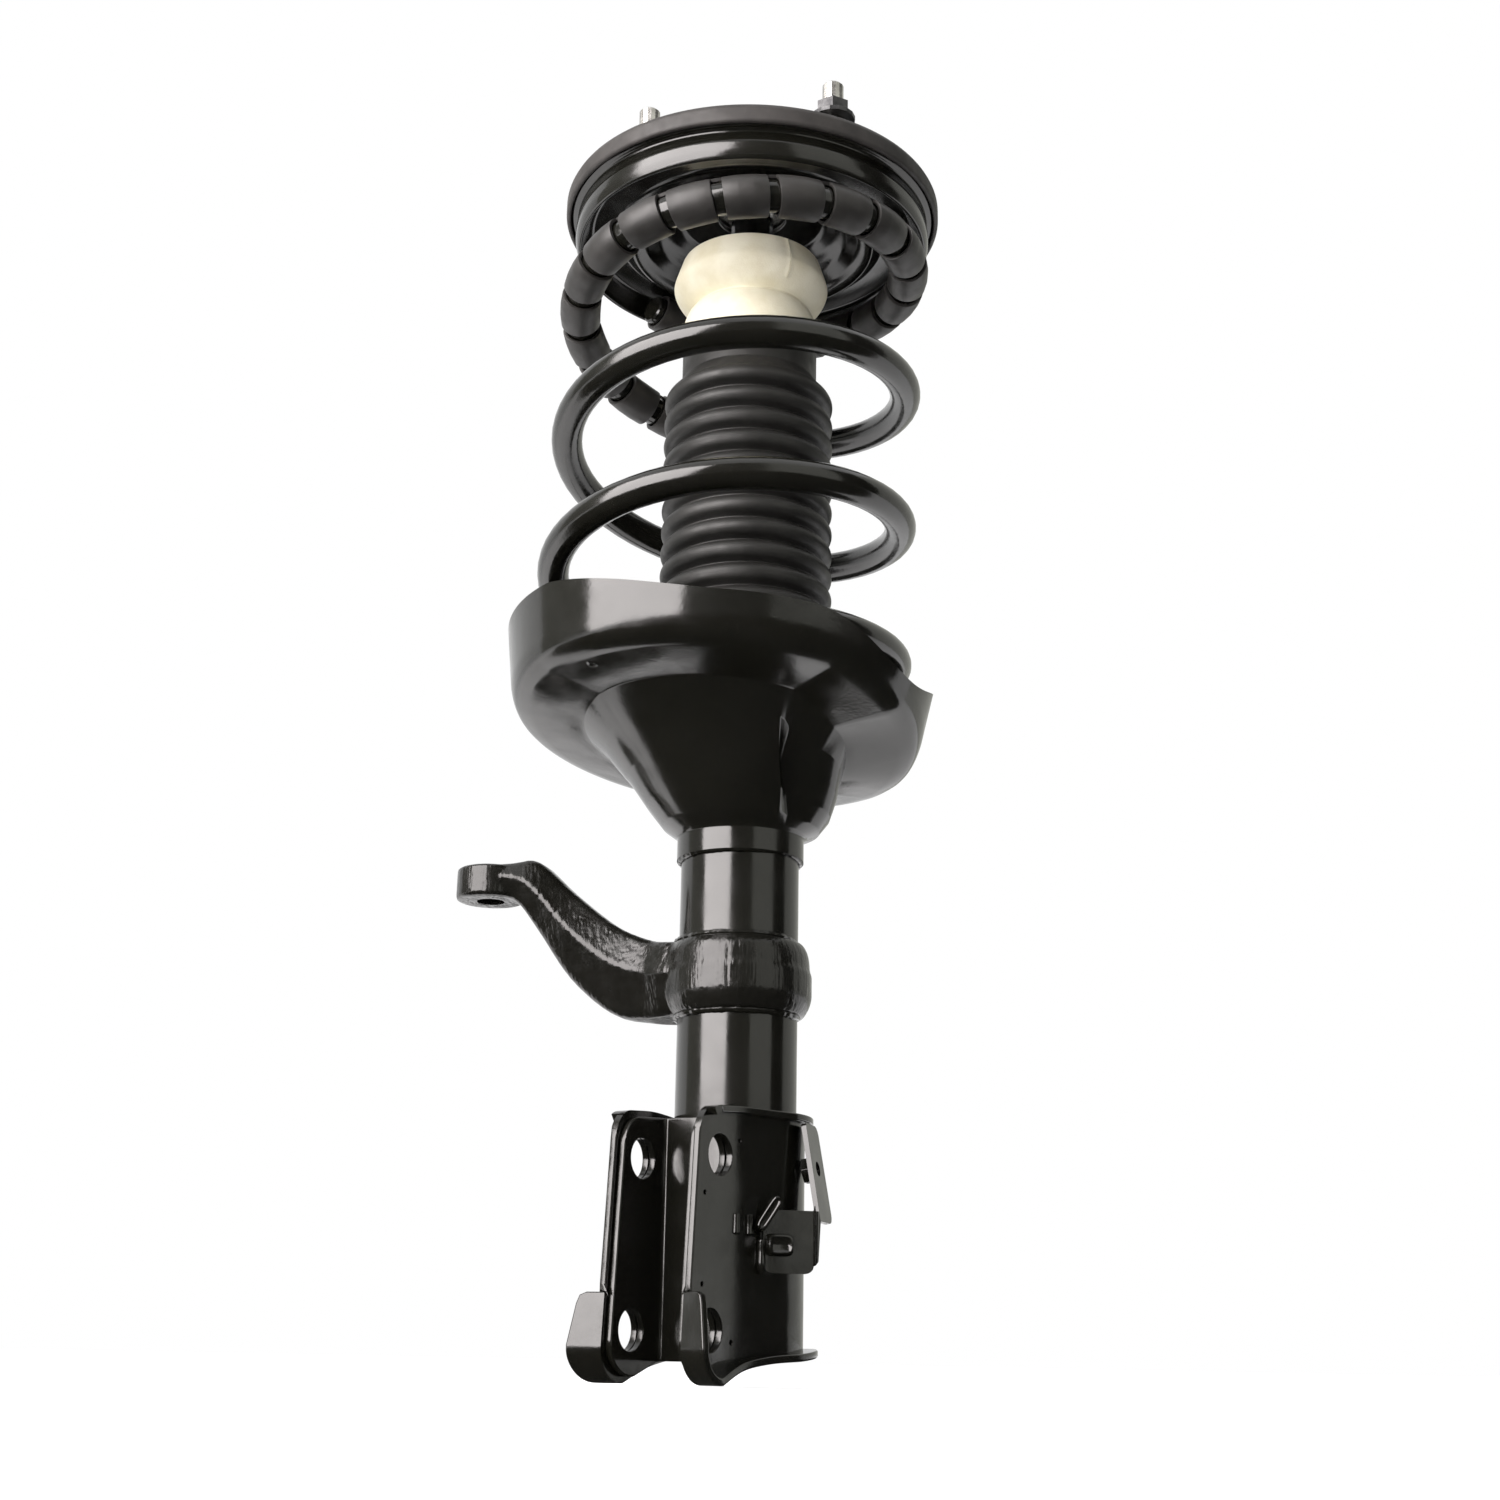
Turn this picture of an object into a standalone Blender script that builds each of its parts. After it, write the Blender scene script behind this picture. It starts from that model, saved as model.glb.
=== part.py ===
"""Front suspension strut: top mount, coil spring, damper, steering arm and knuckle bracket.

The damper's axis is Z and the origin is the middle of the top mount's seating plane. Outboard is
-Y, where the ears of the knuckle bracket point. The top mount and the piston rod stay still, the
upper spring seat turns about Z with the steering, and the damper slides along Z under it.
"""
import math

import bmesh
import bpy
from mathutils import Matrix, Vector

MM = 0.001

# General
CLEARANCE = 0.3 * MM
ROUND_STEPS = 28
SMALL_STEPS = 16
BOLT_HOLE_STEPS = 20
SMOOTH_ANGLE = math.radians(35.0)

# Piston rod and damper
ROD_RADIUS = 10.0 * MM
ROD_STUB_RADIUS = 6.0 * MM
ROD_SHOULDER_Z = -14.0 * MM
TUBE_RADIUS = 25.5 * MM
TUBE_WALL = 2.5 * MM
TUBE_TOP_Z = -212.0 * MM
TUBE_BOTTOM_Z = -539.0 * MM
TUBE_BASE_HEIGHT = 9.0 * MM
TUBE_CAP_WALL = 1.8 * MM
TUBE_CAP_DROP = 14.0 * MM
CYLINDER_RADIUS = 17.5 * MM
CYLINDER_WALL = 1.5 * MM
GUIDE_HEIGHT = 20.0 * MM
GUIDE_SPIGOT = 8.0 * MM
GUIDE_BUSH_WALL = 1.5 * MM
SEAL_HEIGHT = 7.0 * MM
VALVE_HEIGHT = 14.0 * MM
VALVE_FOOT_HEIGHT = 6.0 * MM
PISTON_TOP_Z = -300.0 * MM
PISTON_HEIGHT = 16.0 * MM
PISTON_BAND_WALL = 1.2 * MM
PISTON_BAND_HEIGHT = 10.0 * MM
PISTON_STUB_RADIUS = 6.0 * MM
SHIM_RADIUS = 12.5 * MM
SHIM_STACK = 1.6 * MM
PISTON_NUT_HEIGHT = 8.0 * MM
PISTON_NUT_RADIUS = 9.5 * MM
REBOUND_STOP_HEIGHT = 12.0 * MM
REBOUND_STOP_RADIUS = 14.0 * MM

# Top mount
PLATE_THICKNESS = 3.5 * MM
PLATE_RADIUS = 59.0 * MM
PLATE_LOBE = 7.0 * MM
CUP_RADIUS = 34.0 * MM
CUP_HEIGHT = 15.0 * MM
CUP_MOUTH_RADIUS = 22.0 * MM
STUD_COUNT = 3
STUD_CIRCLE = 52.0 * MM
STUD_ANGLE = math.radians(-12.0)
STUD_RADIUS = 5.0 * MM
STUD_LENGTH = 33.0 * MM
STUD_HEAD_RADIUS = 8.0 * MM
STUD_HEAD_HEIGHT = 3.0 * MM
NUT_LIFT = 13.0 * MM
NUT_HEIGHT = 9.0 * MM
NUT_FLAT_RADIUS = 8.1 * MM
NUT_FLANGE_RADIUS = 10.5 * MM
NUT_FLANGE_HEIGHT = 2.2 * MM
SLEEVE_RADIUS = 12.5 * MM
SLEEVE_TOP_Z = 12.0 * MM
WASHER_THICKNESS = 2.2 * MM
UPPER_WASHER_RADIUS = 19.0 * MM
LOWER_WASHER_RADIUS = 17.0 * MM
ROD_NUT_RADIUS = 10.8 * MM
ROD_NUT_HEIGHT = 11.0 * MM
ROD_END_MARGIN = 4.0 * MM

# Thrust bearing
BALL_CIRCLE = 28.5 * MM
BALL_RADIUS = 2.5 * MM
BALL_COUNT = 8
RACE_HALF_WIDTH = 4.6 * MM
RACE_THICKNESS = 3.4 * MM
RACE_GROOVE_HALF_WIDTH = 2.0 * MM
CAGE_HALF_WIDTH = 1.4 * MM
CAGE_HALF_HEIGHT = 0.8 * MM

# Coil spring, wound on an axis that leans outboard towards its lower end
WIRE_RADIUS = 7.0 * MM
SPRING_RADIUS = 76.8 * MM
SPRING_TURNS = 4.28
SPRING_PITCH = 65.4 * MM
SPRING_PITCH_GROWTH = 1.2 * MM
SPRING_LOWER_PITCH = 34.0 * MM
SPRING_UPPER_PITCH = 29.0 * MM
SPRING_LOWER_EASE = (0.62, 0.92)
SPRING_UPPER_EASE = (0.73, 0.23)
SPRING_RADIUS_EASE = (0.45, 0.12)
SPRING_END_ANGLE = math.radians(65.0)
SPRING_LOWER_OFFSET = 21.8 * MM
SPRING_UPPER_OFFSET = 2.5 * MM
SPRING_POINTS_PER_TURN = 26
SPRING_STEPS_PER_TURN = 64
LOWER_SEATED_TURNS = 0.5
STEP_TURNS = 0.045
STEP_MARGIN_TURNS = 0.025

# Spiral wrap on the top coil
WRAP_WALL = 1.3 * MM
WRAP_WIDTH = 18.5 * MM
WRAP_PITCH = 23.0 * MM
WRAP_TURNS = 20
WRAP_POINTS_PER_TURN = 9
WRAP_END_GAP = 4.0 * MM

# Upper spring seat
SEAT_WALL = 2.4 * MM
SEAT_STEPS = 32
SEAT_BORE = 15.5 * MM
SEAT_HUB_RADIUS = 35.0 * MM
SEAT_RIDGE_Z = -35.0 * MM
SEAT_FLOOR_Z = -28.24 * MM
SEAT_BEAD_TOP_Z = -25.5 * MM
SEAT_LIP_Z = -37.5 * MM
SEAT_BEAD_RADIUS = 84.0 * MM
SEAT_BEAD_WIDTH = 3.4 * MM
SEAT_RIM_STEP = 2.3 * MM
SEAT_LIP_GAP = 3.1 * MM
SEAT_RIDGE_GAP = 6.5 * MM
SEAT_RIM_Z = -16.0 * MM
SEAL_WALL = 2.2 * MM
SEAL_DEPTH = 9.0 * MM

# Lower spring seat
PAN_WALL = 2.8 * MM
PAN_STEPS = 40
PAN_RADIUS = 93.5 * MM
PAN_TAPER = 4.0 * MM
PAN_CORNER = 8.0 * MM
PAN_FLOOR_INNER = 57.0 * MM
PAN_FLOOR_DISH = 3.0 * MM
RIM_LOW_ANGLE = math.radians(5.0)
RIM_LOW_HEIGHT = 12.0 * MM
RIM_FIRST_RISE = 14.0 * MM
RIM_FIRST_ANGLE = math.radians(38.0)
RIM_SECOND_RISE = 16.0 * MM
RIM_SECOND_START = math.radians(60.0)
RIM_SECOND_ANGLE = math.radians(70.0)
RIM_LEVEL_ANGLE = math.radians(112.0)
RIM_LEAST_WALL = 5.5 * MM
NECK_DROP = 42.6 * MM
NECK_COLLAR_HEIGHT = 10.0 * MM
NECK_MIDDLE_RADIUS = 43.0 * MM
NECK_LOWER_RADIUS = 33.5 * MM
NECK_LOBE_ANGLE = math.radians(42.0)
NECK_LOBE_BULGE = 5.0 * MM
NECK_LOBE_HALF_ANGLE = math.radians(60.0)
NECK_VALLEY_ANGLE = math.radians(-26.0)
NECK_VALLEY_DEPTH = 11.0 * MM
NECK_VALLEY_HALF_ANGLE = math.radians(34.0)

# Bump stop
BUMP_TOP_Z = -43.7 * MM
BUMP_FACE_RADIUS = 32.5 * MM
BUMP_RADIUS = 36.3 * MM
BUMP_CHAMFER_DROP = 10.0 * MM
BUMP_WAIST_RADIUS = 27.2 * MM
BUMP_WAIST_DROP = 25.0 * MM
BUMP_LOBE_RADIUS = 31.5 * MM
BUMP_TAIL_RADIUS = 29.2 * MM
BUMP_TAIL_CHAMFER = 4.0 * MM

# Dust boot
BOOT_TOP_Z = -87.0 * MM
BOOT_COLLAR_HEIGHT = 19.0 * MM
BOOT_SHOULDER = 6.0 * MM
BOOT_WALL = 1.8 * MM
BOOT_RIBS = 13
BOOT_RIB_PITCH = 10.7 * MM
BOOT_CREST_RADIUS = 39.0 * MM
BOOT_ROOT_RADIUS = 34.8 * MM
BOOT_FOOT_HEIGHT = 8.0 * MM
BOOT_STEPS = 24

# Steering arm
ARM_ANGLE = math.radians(195.7)
ARM_COLLAR_RADIUS = 31.5 * MM
ARM_COLLAR_TOP_Z = -371.0 * MM
ARM_COLLAR_HEIGHT = 32.0 * MM
ARM_COLLAR_CHAMFER = 4.5 * MM
ARM_EYE_DISTANCE = 117.0 * MM
ARM_EYE_RADIUS = 15.5 * MM
ARM_EYE_HOLE = 6.2 * MM
ARM_EYE_BOTTOM_Z = -346.6 * MM
ARM_EYE_HEIGHT = 12.0 * MM
ARM_EDGE_CHAMFER = 2.5 * MM
ARM_ROOT_WIDTH = 48.0 * MM
ARM_SHOULDER_WIDTH = 40.0 * MM
ARM_HEEL_WIDTH = 30.0 * MM
ARM_WEB_WIDTH = 25.0 * MM
ARM_NECK_WIDTH = 23.0 * MM
ARM_WEB_SWELL = 7.0 * MM

# Knuckle bracket
EAR_GAP = 31.0 * MM
EAR_REACH = 63.5 * MM
EAR_TOP_SETBACK = 6.0 * MM
EAR_TOP_DROP = 2.0 * MM
EAR_TOP_CORNER = 11.0 * MM
EAR_BOTTOM_CORNER = 14.0 * MM
EAR_BOTTOM_DROP = 11.5 * MM
EAR_ROOT_DROP = 5.5 * MM
EAR_LEVEL_SHARE = 0.5
EAR_HOLE_RADIUS = 8.2 * MM
EAR_HOLE_SETBACK = 20.0 * MM
EAR_HOLE_SLANT = 4.5 * MM
EAR_HOLE_DROP = 20.0 * MM
EAR_HOLE_SPACING = 66.4 * MM
BRACKET_WALL = 3.0 * MM
BRACKET_TOP_Z = -444.5 * MM
BRACKET_BOTTOM_Z = -539.5 * MM
BRACKET_EAR_ROOT = 33.0 * MM
BRACKET_WRAP_ANGLE = math.radians(-25.0)
BRACKET_WRAP_STEPS = 12
BRACKET_CLIMB_ANGLE = math.radians(75.0)
BRACKET_LIP_LOWER = 9.0 * MM
BRACKET_LIP_UPPER = 6.5 * MM
BRACKET_HOOK_WIDTH = 15.5 * MM
BRACKET_HOOK_TOP_SHARE = 0.75
BRACKET_HOOK_TILT = math.radians(20.0)
BRACKET_HOOK_Z = -517.0 * MM
CHANNEL_WALL = 2.8 * MM
CHANNEL_SETBACK = 3.5 * MM
CHANNEL_END_GAP = 2.5 * MM

# Hose bracket
HOSE_ANGLE = math.radians(45.0)
HOSE_WALL = 2.5 * MM
HOSE_FOOT_SHARE = 0.7
HOSE_STANDOFF = 11.6 * MM
HOSE_PLATE_TOP_Z = -484.0 * MM
HOSE_PLATE_HEIGHT = 24.5 * MM
HOSE_CORNER = 4.0 * MM
HOSE_TAB_LENGTH = 21.5 * MM
HOSE_TAB_EDGE = 3.0 * MM
HOSE_TAB_SLANT = 1.0 * MM
HOSE_TAB_RISE = 35.5 * MM
HOSE_TAB_HEIGHT = 39.5 * MM
HOSE_TAB_LEAN = math.radians(10.0)
HOSE_TAB_BEND = math.radians(60.0)
HOSE_HOLE_RADIUS = 3.0 * MM
HOSE_HOLE_REACH = 12.0 * MM
HOSE_HOLE_DROP = 18.0 * MM
WELD_NUT_RADIUS = 5.5 * MM
WELD_NUT_HEIGHT = 3.6 * MM

# Values that follow from the sizes above
TUBE_BORE = TUBE_RADIUS - TUBE_WALL
SEAT_RIM_RADIUS = SEAT_BEAD_RADIUS + SEAT_RIM_STEP
SEAT_LIP_RADIUS = SEAT_BEAD_RADIUS - SEAT_BEAD_WIDTH
SPRING_TOP_RADIUS = SEAT_LIP_RADIUS - SEAT_LIP_GAP - WIRE_RADIUS
SEAT_RIDGE_RADIUS = SPRING_TOP_RADIUS - WIRE_RADIUS - SEAT_RIDGE_GAP
WRAP_INNER = (WIRE_RADIUS + 2.0 * CLEARANCE) / math.cos(math.pi / WRAP_POINTS_PER_TURN)
WRAP_OUTER = WRAP_INNER + WRAP_WALL
RACE_GAP = 2.0 * BALL_RADIUS + 2.0 * CLEARANCE - RACE_GROOVE_HALF_WIDTH
LOWER_RACE_TOP_Z = -PLATE_THICKNESS - CLEARANCE - RACE_THICKNESS - RACE_GAP
SEAT_HUB_Z = LOWER_RACE_TOP_Z - RACE_THICKNESS - CLEARANCE - SEAT_WALL
BOOT_COLLAR_Z = BOOT_TOP_Z - BOOT_COLLAR_HEIGHT
BOOT_BELLOWS_Z = BOOT_COLLAR_Z - BOOT_SHOULDER
BOOT_FOOT_Z = BOOT_BELLOWS_Z - BOOT_RIBS * BOOT_RIB_PITCH
EAR_HOLE_REACH = EAR_REACH - EAR_HOLE_SETBACK
BRACKET_INNER = EAR_GAP / 2.0 + CHANNEL_WALL + CLEARANCE
BRACKET_WRAP_STEP = (math.pi - 2.0 * BRACKET_WRAP_ANGLE) / BRACKET_WRAP_STEPS
BRACKET_WRAP_RADIUS = (TUBE_RADIUS + CLEARANCE) / math.cos(BRACKET_WRAP_STEP / 2.0)
GUIDE_TOP_Z = TUBE_TOP_Z - TUBE_CAP_WALL - CLEARANCE - SEAL_HEIGHT - CLEARANCE
CYLINDER_TOP_Z = GUIDE_TOP_Z - GUIDE_HEIGHT + GUIDE_SPIGOT - CLEARANCE
BASE_TOP_Z = TUBE_BOTTOM_Z + TUBE_BASE_HEIGHT
CYLINDER_BOTTOM_Z = BASE_TOP_Z + CLEARANCE + VALVE_FOOT_HEIGHT + CLEARANCE

FINISHES = {
    "gloss_black": ((0.012, 0.012, 0.013), 0.22, 0.0),
    "matte_black": ((0.020, 0.020, 0.021), 0.60, 0.0),
    "wrap_plastic": ((0.030, 0.030, 0.032), 0.55, 0.0),
    "rubber": ((0.025, 0.023, 0.021), 0.70, 0.0),
    "foam_cream": ((0.80, 0.76, 0.58), 0.75, 0.0),
    "chrome": ((0.80, 0.80, 0.80), 0.08, 1.0),
    "zinc": ((0.62, 0.62, 0.60), 0.30, 1.0),
    "dark_steel": ((0.10, 0.10, 0.11), 0.40, 1.0),
    "bright_steel": ((0.50, 0.50, 0.50), 0.30, 1.0),
    "bronze": ((0.45, 0.30, 0.14), 0.35, 1.0),
    "filled_polymer": ((0.08, 0.06, 0.05), 0.50, 0.0),
}


# Modelling helpers


def clear_scene():
    for thing in list(bpy.data.objects):
        bpy.data.objects.remove(thing, do_unlink=True)


def material(piece, finish):
    """Each piece has its own Principled material with the colour of its finish."""
    colour, roughness, metallic = FINISHES[finish]
    made = bpy.data.materials.new(piece + "_finish")
    made.use_nodes = True
    shader = made.node_tree.nodes["Principled BSDF"]
    shader.inputs["Base Color"].default_value = (*colour, 1.0)
    shader.inputs["Roughness"].default_value = roughness
    shader.inputs["Metallic"].default_value = metallic
    made.diffuse_color = (*colour, 1.0)
    return made


def mesh_object(name, mesh_data, finish, parent=None, closed=True):
    """Turn a bmesh into a named object with outward faces and smooth round sides."""
    if closed:
        bmesh.ops.recalc_face_normals(mesh_data, faces=mesh_data.faces[:])
    mesh = bpy.data.meshes.new(name)
    mesh_data.to_mesh(mesh)
    mesh_data.free()
    mesh.shade_smooth()
    mesh.set_sharp_from_angle(angle=SMOOTH_ANGLE)
    made = bpy.data.objects.new(name, mesh)
    bpy.context.scene.collection.objects.link(made)
    made.parent = parent
    if finish:
        mesh.materials.append(material(name, finish))
    return made


def apply_modifiers(thing):
    """Bake an object's modifiers into its mesh."""
    bpy.context.view_layer.update()
    evaluated = thing.evaluated_get(bpy.context.evaluated_depsgraph_get())
    baked = bpy.data.meshes.new_from_object(evaluated)
    thing.modifiers.clear()
    thing.data = baked
    baked.name = thing.name
    baked.shade_smooth()
    baked.set_sharp_from_angle(angle=SMOOTH_ANGLE)


def combine(thing, tools, operation):
    """Cut or join an object with others, which are used up."""
    for tool in tools:
        modifier = thing.modifiers.new(operation.lower(), "BOOLEAN")
        modifier.operation = operation
        modifier.object = tool
        apply_modifiers(thing)
        bpy.data.objects.remove(tool, do_unlink=True)
    return thing


def loops_to_mesh(loops, closed_path=True, closed_loop=True):
    """Skin a run of point loops; an open run of closed loops gets end caps."""
    made = bmesh.new()
    rings = [[made.verts.new(point) for point in loop] for loop in loops]
    count = len(rings[0])
    path_last = len(rings) if closed_path else len(rings) - 1
    loop_last = count if closed_loop else count - 1
    for i in range(path_last):
        here = rings[i]
        following = rings[(i + 1) % len(rings)]
        for k in range(loop_last):
            j = (k + 1) % count
            made.faces.new((here[k], here[j], following[j], following[k]))
    if not closed_path and closed_loop:
        made.faces.new(rings[0])
        made.faces.new(rings[-1])
    return made


def turned(name, profile, finish, parent, steps=ROUND_STEPS):
    """Turn a closed (radius, z) profile about Z; a profile may start and end on the axis."""
    on_axis = profile[0][0] == 0.0 and profile[-1][0] == 0.0
    middle = profile[1:-1] if on_axis else profile
    angles = [2.0 * math.pi * i / steps for i in range(steps)]
    loops = [[(r * math.cos(a), r * math.sin(a), z) for r, z in middle] for a in angles]
    made = loops_to_mesh(loops, closed_loop=not on_axis)
    if on_axis:
        made.verts.ensure_lookup_table()
        per_ring = len(middle)
        for end, row in ((profile[0], 0), (profile[-1], per_ring - 1)):
            tip = made.verts.new((0.0, 0.0, end[1]))
            made.verts.ensure_lookup_table()
            for i in range(steps):
                j = (i + 1) % steps
                made.faces.new((made.verts[i * per_ring + row], made.verts[j * per_ring + row], tip))
    return mesh_object(name, made, finish, parent)


def tube_profile(inner, outer, bottom, top, chamfer=0.0):
    """Closed profile of a plain ring, with a chamfer on its outer edges."""
    if chamfer == 0.0:
        return [(inner, top), (outer, top), (outer, bottom), (inner, bottom)]
    return [
        (inner, top),
        (outer - chamfer, top),
        (outer, top - chamfer),
        (outer, bottom + chamfer),
        (outer - chamfer, bottom),
        (inner, bottom),
    ]


def prism(name, outline, bottom, top, finish, parent=None):
    """Extrude an (x, y) outline along Z."""
    lower = [(x, y, bottom) for x, y in outline]
    upper = [(x, y, top) for x, y in outline]
    return mesh_object(name, loops_to_mesh([lower, upper], closed_path=False), finish, parent)


def circle(radius, steps, turn=0.0):
    angles = [turn + 2.0 * math.pi * i / steps for i in range(steps)]
    return [(radius * math.cos(angle), radius * math.sin(angle)) for angle in angles]


def cutter(radius, start, end, steps=SMALL_STEPS):
    """Round cutter between two points, hidden and out of the model."""
    axis = Vector(end) - Vector(start)
    outline = circle(radius, steps)
    made = prism("cutter", outline, 0.0, axis.length, None)
    made.data.transform(axis.to_track_quat("Z", "Y").to_matrix().to_4x4())
    made.data.transform(Matrix.Translation(Vector(start)))
    made.hide_render = True
    made.display_type = "WIRE"
    return made


def move_mesh(thing, x, y, z):
    thing.data.transform(Matrix.Translation((x, y, z)))
    return thing


def offset_profile(points, distance):
    """Shift an open (r, z) line sideways by a sheet's thickness, mitred at its corners."""
    normals = []
    for (r0, z0), (r1, z1) in zip(points[:-1], points[1:]):
        length = math.hypot(r1 - r0, z1 - z0)
        normals.append(Vector(((z0 - z1) / length, (r1 - r0) / length)))
    shifted = []
    for i, (r, z) in enumerate(points):
        before = normals[max(i - 1, 0)]
        after = normals[min(i, len(normals) - 1)]
        mean = (before + after).normalized()
        stretch = min(1.0 / max(mean.dot(after), 0.5), 1.6)
        shifted.append((r + mean.x * distance * stretch, z + mean.y * distance * stretch))
    return shifted


def ease(value):
    """Smooth step from 0 to 1."""
    value = min(max(value, 0.0), 1.0)
    return value * value * (3.0 - 2.0 * value)


def angle_between(a, b):
    """Signed difference of two angles, within half a turn."""
    return (a - b + math.pi) % (2.0 * math.pi) - math.pi


def heading(angle):
    """Level direction at an angle round Z."""
    return Vector((math.cos(angle), math.sin(angle), 0.0))


# Spring geometry shared by the spring, its wrap and both seats


def spring_pitch(turn):
    """Rise per turn: closer on both ends, and slowly growing between them."""
    free = SPRING_PITCH + SPRING_PITCH_GROWTH * turn
    start, stop = SPRING_LOWER_EASE
    pitch = SPRING_LOWER_PITCH + (free - SPRING_LOWER_PITCH) * ease((turn - start) / (stop - start))
    far, near = SPRING_UPPER_EASE
    return pitch + (SPRING_UPPER_PITCH - pitch) * ease((turn - SPRING_TURNS + far) / (far - near))


def spring_height(turn):
    """Height along the spring's axis: the pitch added up from the lower end."""
    count = max(1, math.ceil(turn * SPRING_STEPS_PER_TURN))
    step = turn / count
    return step * sum(spring_pitch((i + 0.5) * step) for i in range(count))


def spring_radius(turn):
    """The wire winds in to a smaller radius at its upper end."""
    far, near = SPRING_RADIUS_EASE
    share = ease((turn - SPRING_TURNS + far) / (far - near))
    return SPRING_RADIUS + (SPRING_TOP_RADIUS - SPRING_RADIUS) * share


SPRING_UP_SLOPE = (SPRING_LOWER_OFFSET - SPRING_UPPER_OFFSET) / spring_height(SPRING_TURNS)
SPRING_AXIS = Vector((0.0, SPRING_UP_SLOPE, 1.0)).normalized()
SPRING_CROSS = Vector((0.0, 1.0, -SPRING_UP_SLOPE)).normalized()


def spring_rise():
    """Height of the wire's upper end over the middle of its lower end."""
    angle = SPRING_END_ANGLE + 2.0 * math.pi * SPRING_TURNS
    across = SPRING_CROSS.z * SPRING_TOP_RADIUS * math.sin(angle)
    return SPRING_AXIS.z * spring_height(SPRING_TURNS) + across


# The wrapped upper end lies against the upper seat, and the lower seat hangs under the spring
SPRING_BASE_Z = SEAT_FLOOR_Z - CLEARANCE - WRAP_OUTER - spring_rise()
SPRING_BASE = Vector((0.0, -SPRING_LOWER_OFFSET, SPRING_BASE_Z))


def spring_frame_point(radius, angle, height):
    """A point given round the leaning spring axis."""
    across = Vector((1.0, 0.0, 0.0)) * (radius * math.cos(angle)) + SPRING_CROSS * (radius * math.sin(angle))
    return SPRING_BASE + SPRING_AXIS * height + across


def spring_line():
    """Points along the wire's centre line, from its upper end down."""
    count = round(SPRING_TURNS * SPRING_POINTS_PER_TURN)
    points = []
    for i in range(count + 1):
        turn = SPRING_TURNS * (count - i) / count
        angle = SPRING_END_ANGLE + 2.0 * math.pi * turn
        points.append(spring_frame_point(spring_radius(turn), angle, spring_height(turn)))
    return points


def place_on_line(points, way):
    """Point and direction on a line of points, a given way from its first point."""
    for here, there in zip(points[:-1], points[1:]):
        step = there - here
        if way <= step.length:
            return here + step * (way / step.length), step.normalized()
        way -= step.length
    return points[-1], (points[-1] - points[-2]).normalized()


def spring_least_gap(points, reach):
    """Least distance between the centre lines of neighbouring turns."""
    least = float("inf")
    for i, here in enumerate(points):
        for there in points[i + reach :]:
            least = min(least, (here - there).length)
    return least


def lower_floor_height(angle):
    """Top of the lower seat's floor: it climbs with the wire, stays level, then steps back down."""
    turns = ((angle - SPRING_END_ANGLE) / (2.0 * math.pi)) % 1.0
    step_start = 1.0 - STEP_MARGIN_TURNS - STEP_TURNS
    back = ease((turns - step_start) / STEP_TURNS)
    share = min(turns, LOWER_SEATED_TURNS) * (1.0 - back)
    return spring_height(share) - WIRE_RADIUS - CLEARANCE


# Top mount, which stays still


def flange_radius(angle):
    return PLATE_RADIUS + PLATE_LOBE * math.cos(STUD_COUNT * (angle - STUD_ANGLE))


def stud_place(index):
    angle = STUD_ANGLE + 2.0 * math.pi * index / STUD_COUNT
    return STUD_CIRCLE * math.cos(angle), STUD_CIRCLE * math.sin(angle)


def top_mount_plate(parent):
    """Pressed plate: a flat flange with a lobe at each stud, and a cup for the bush."""
    inside = CUP_RADIUS - PLATE_THICKNESS
    bend = PLATE_THICKNESS
    loops = []
    for i in range(SEAT_STEPS):
        angle = 2.0 * math.pi * i / SEAT_STEPS
        under = [
            (CUP_MOUTH_RADIUS, CUP_HEIGHT - PLATE_THICKNESS),
            (inside - bend, CUP_HEIGHT - PLATE_THICKNESS),
            (inside, CUP_HEIGHT - PLATE_THICKNESS - bend),
            (inside, 0.0),
            (inside + bend, -PLATE_THICKNESS),
            (flange_radius(angle), -PLATE_THICKNESS),
        ]
        over = [
            (CUP_MOUTH_RADIUS, CUP_HEIGHT),
            (CUP_RADIUS - bend, CUP_HEIGHT),
            (CUP_RADIUS, CUP_HEIGHT - bend),
            (CUP_RADIUS, bend),
            (CUP_RADIUS + bend, 0.0),
            (flange_radius(angle), 0.0),
        ]
        loop = under + over[::-1]
        loops.append([(r * math.cos(angle), r * math.sin(angle), z) for r, z in loop])
    plate = mesh_object("top_mount_plate", loops_to_mesh(loops), "gloss_black", parent)
    holes = []
    for index in range(STUD_COUNT):
        x, y = stud_place(index)
        reach = 2.0 * PLATE_THICKNESS
        holes.append(cutter(STUD_RADIUS + CLEARANCE, (x, y, -reach), (x, y, reach)))
    return combine(plate, holes, "DIFFERENCE")


def mount_stud(index, parent):
    """Press-in stud with its flat head under the plate."""
    head_top = -PLATE_THICKNESS - CLEARANCE
    tip = STUD_RADIUS / 4.0
    profile = [
        (0.0, STUD_LENGTH),
        (STUD_RADIUS - tip, STUD_LENGTH),
        (STUD_RADIUS, STUD_LENGTH - tip),
        (STUD_RADIUS, head_top),
        (STUD_HEAD_RADIUS, head_top),
        (STUD_HEAD_RADIUS, head_top - STUD_HEAD_HEIGHT),
        (0.0, head_top - STUD_HEAD_HEIGHT),
    ]
    stud = turned("mount_stud_%d" % (index + 1), profile, "zinc", parent, SMALL_STEPS)
    return move_mesh(stud, *stud_place(index), 0.0)


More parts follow.
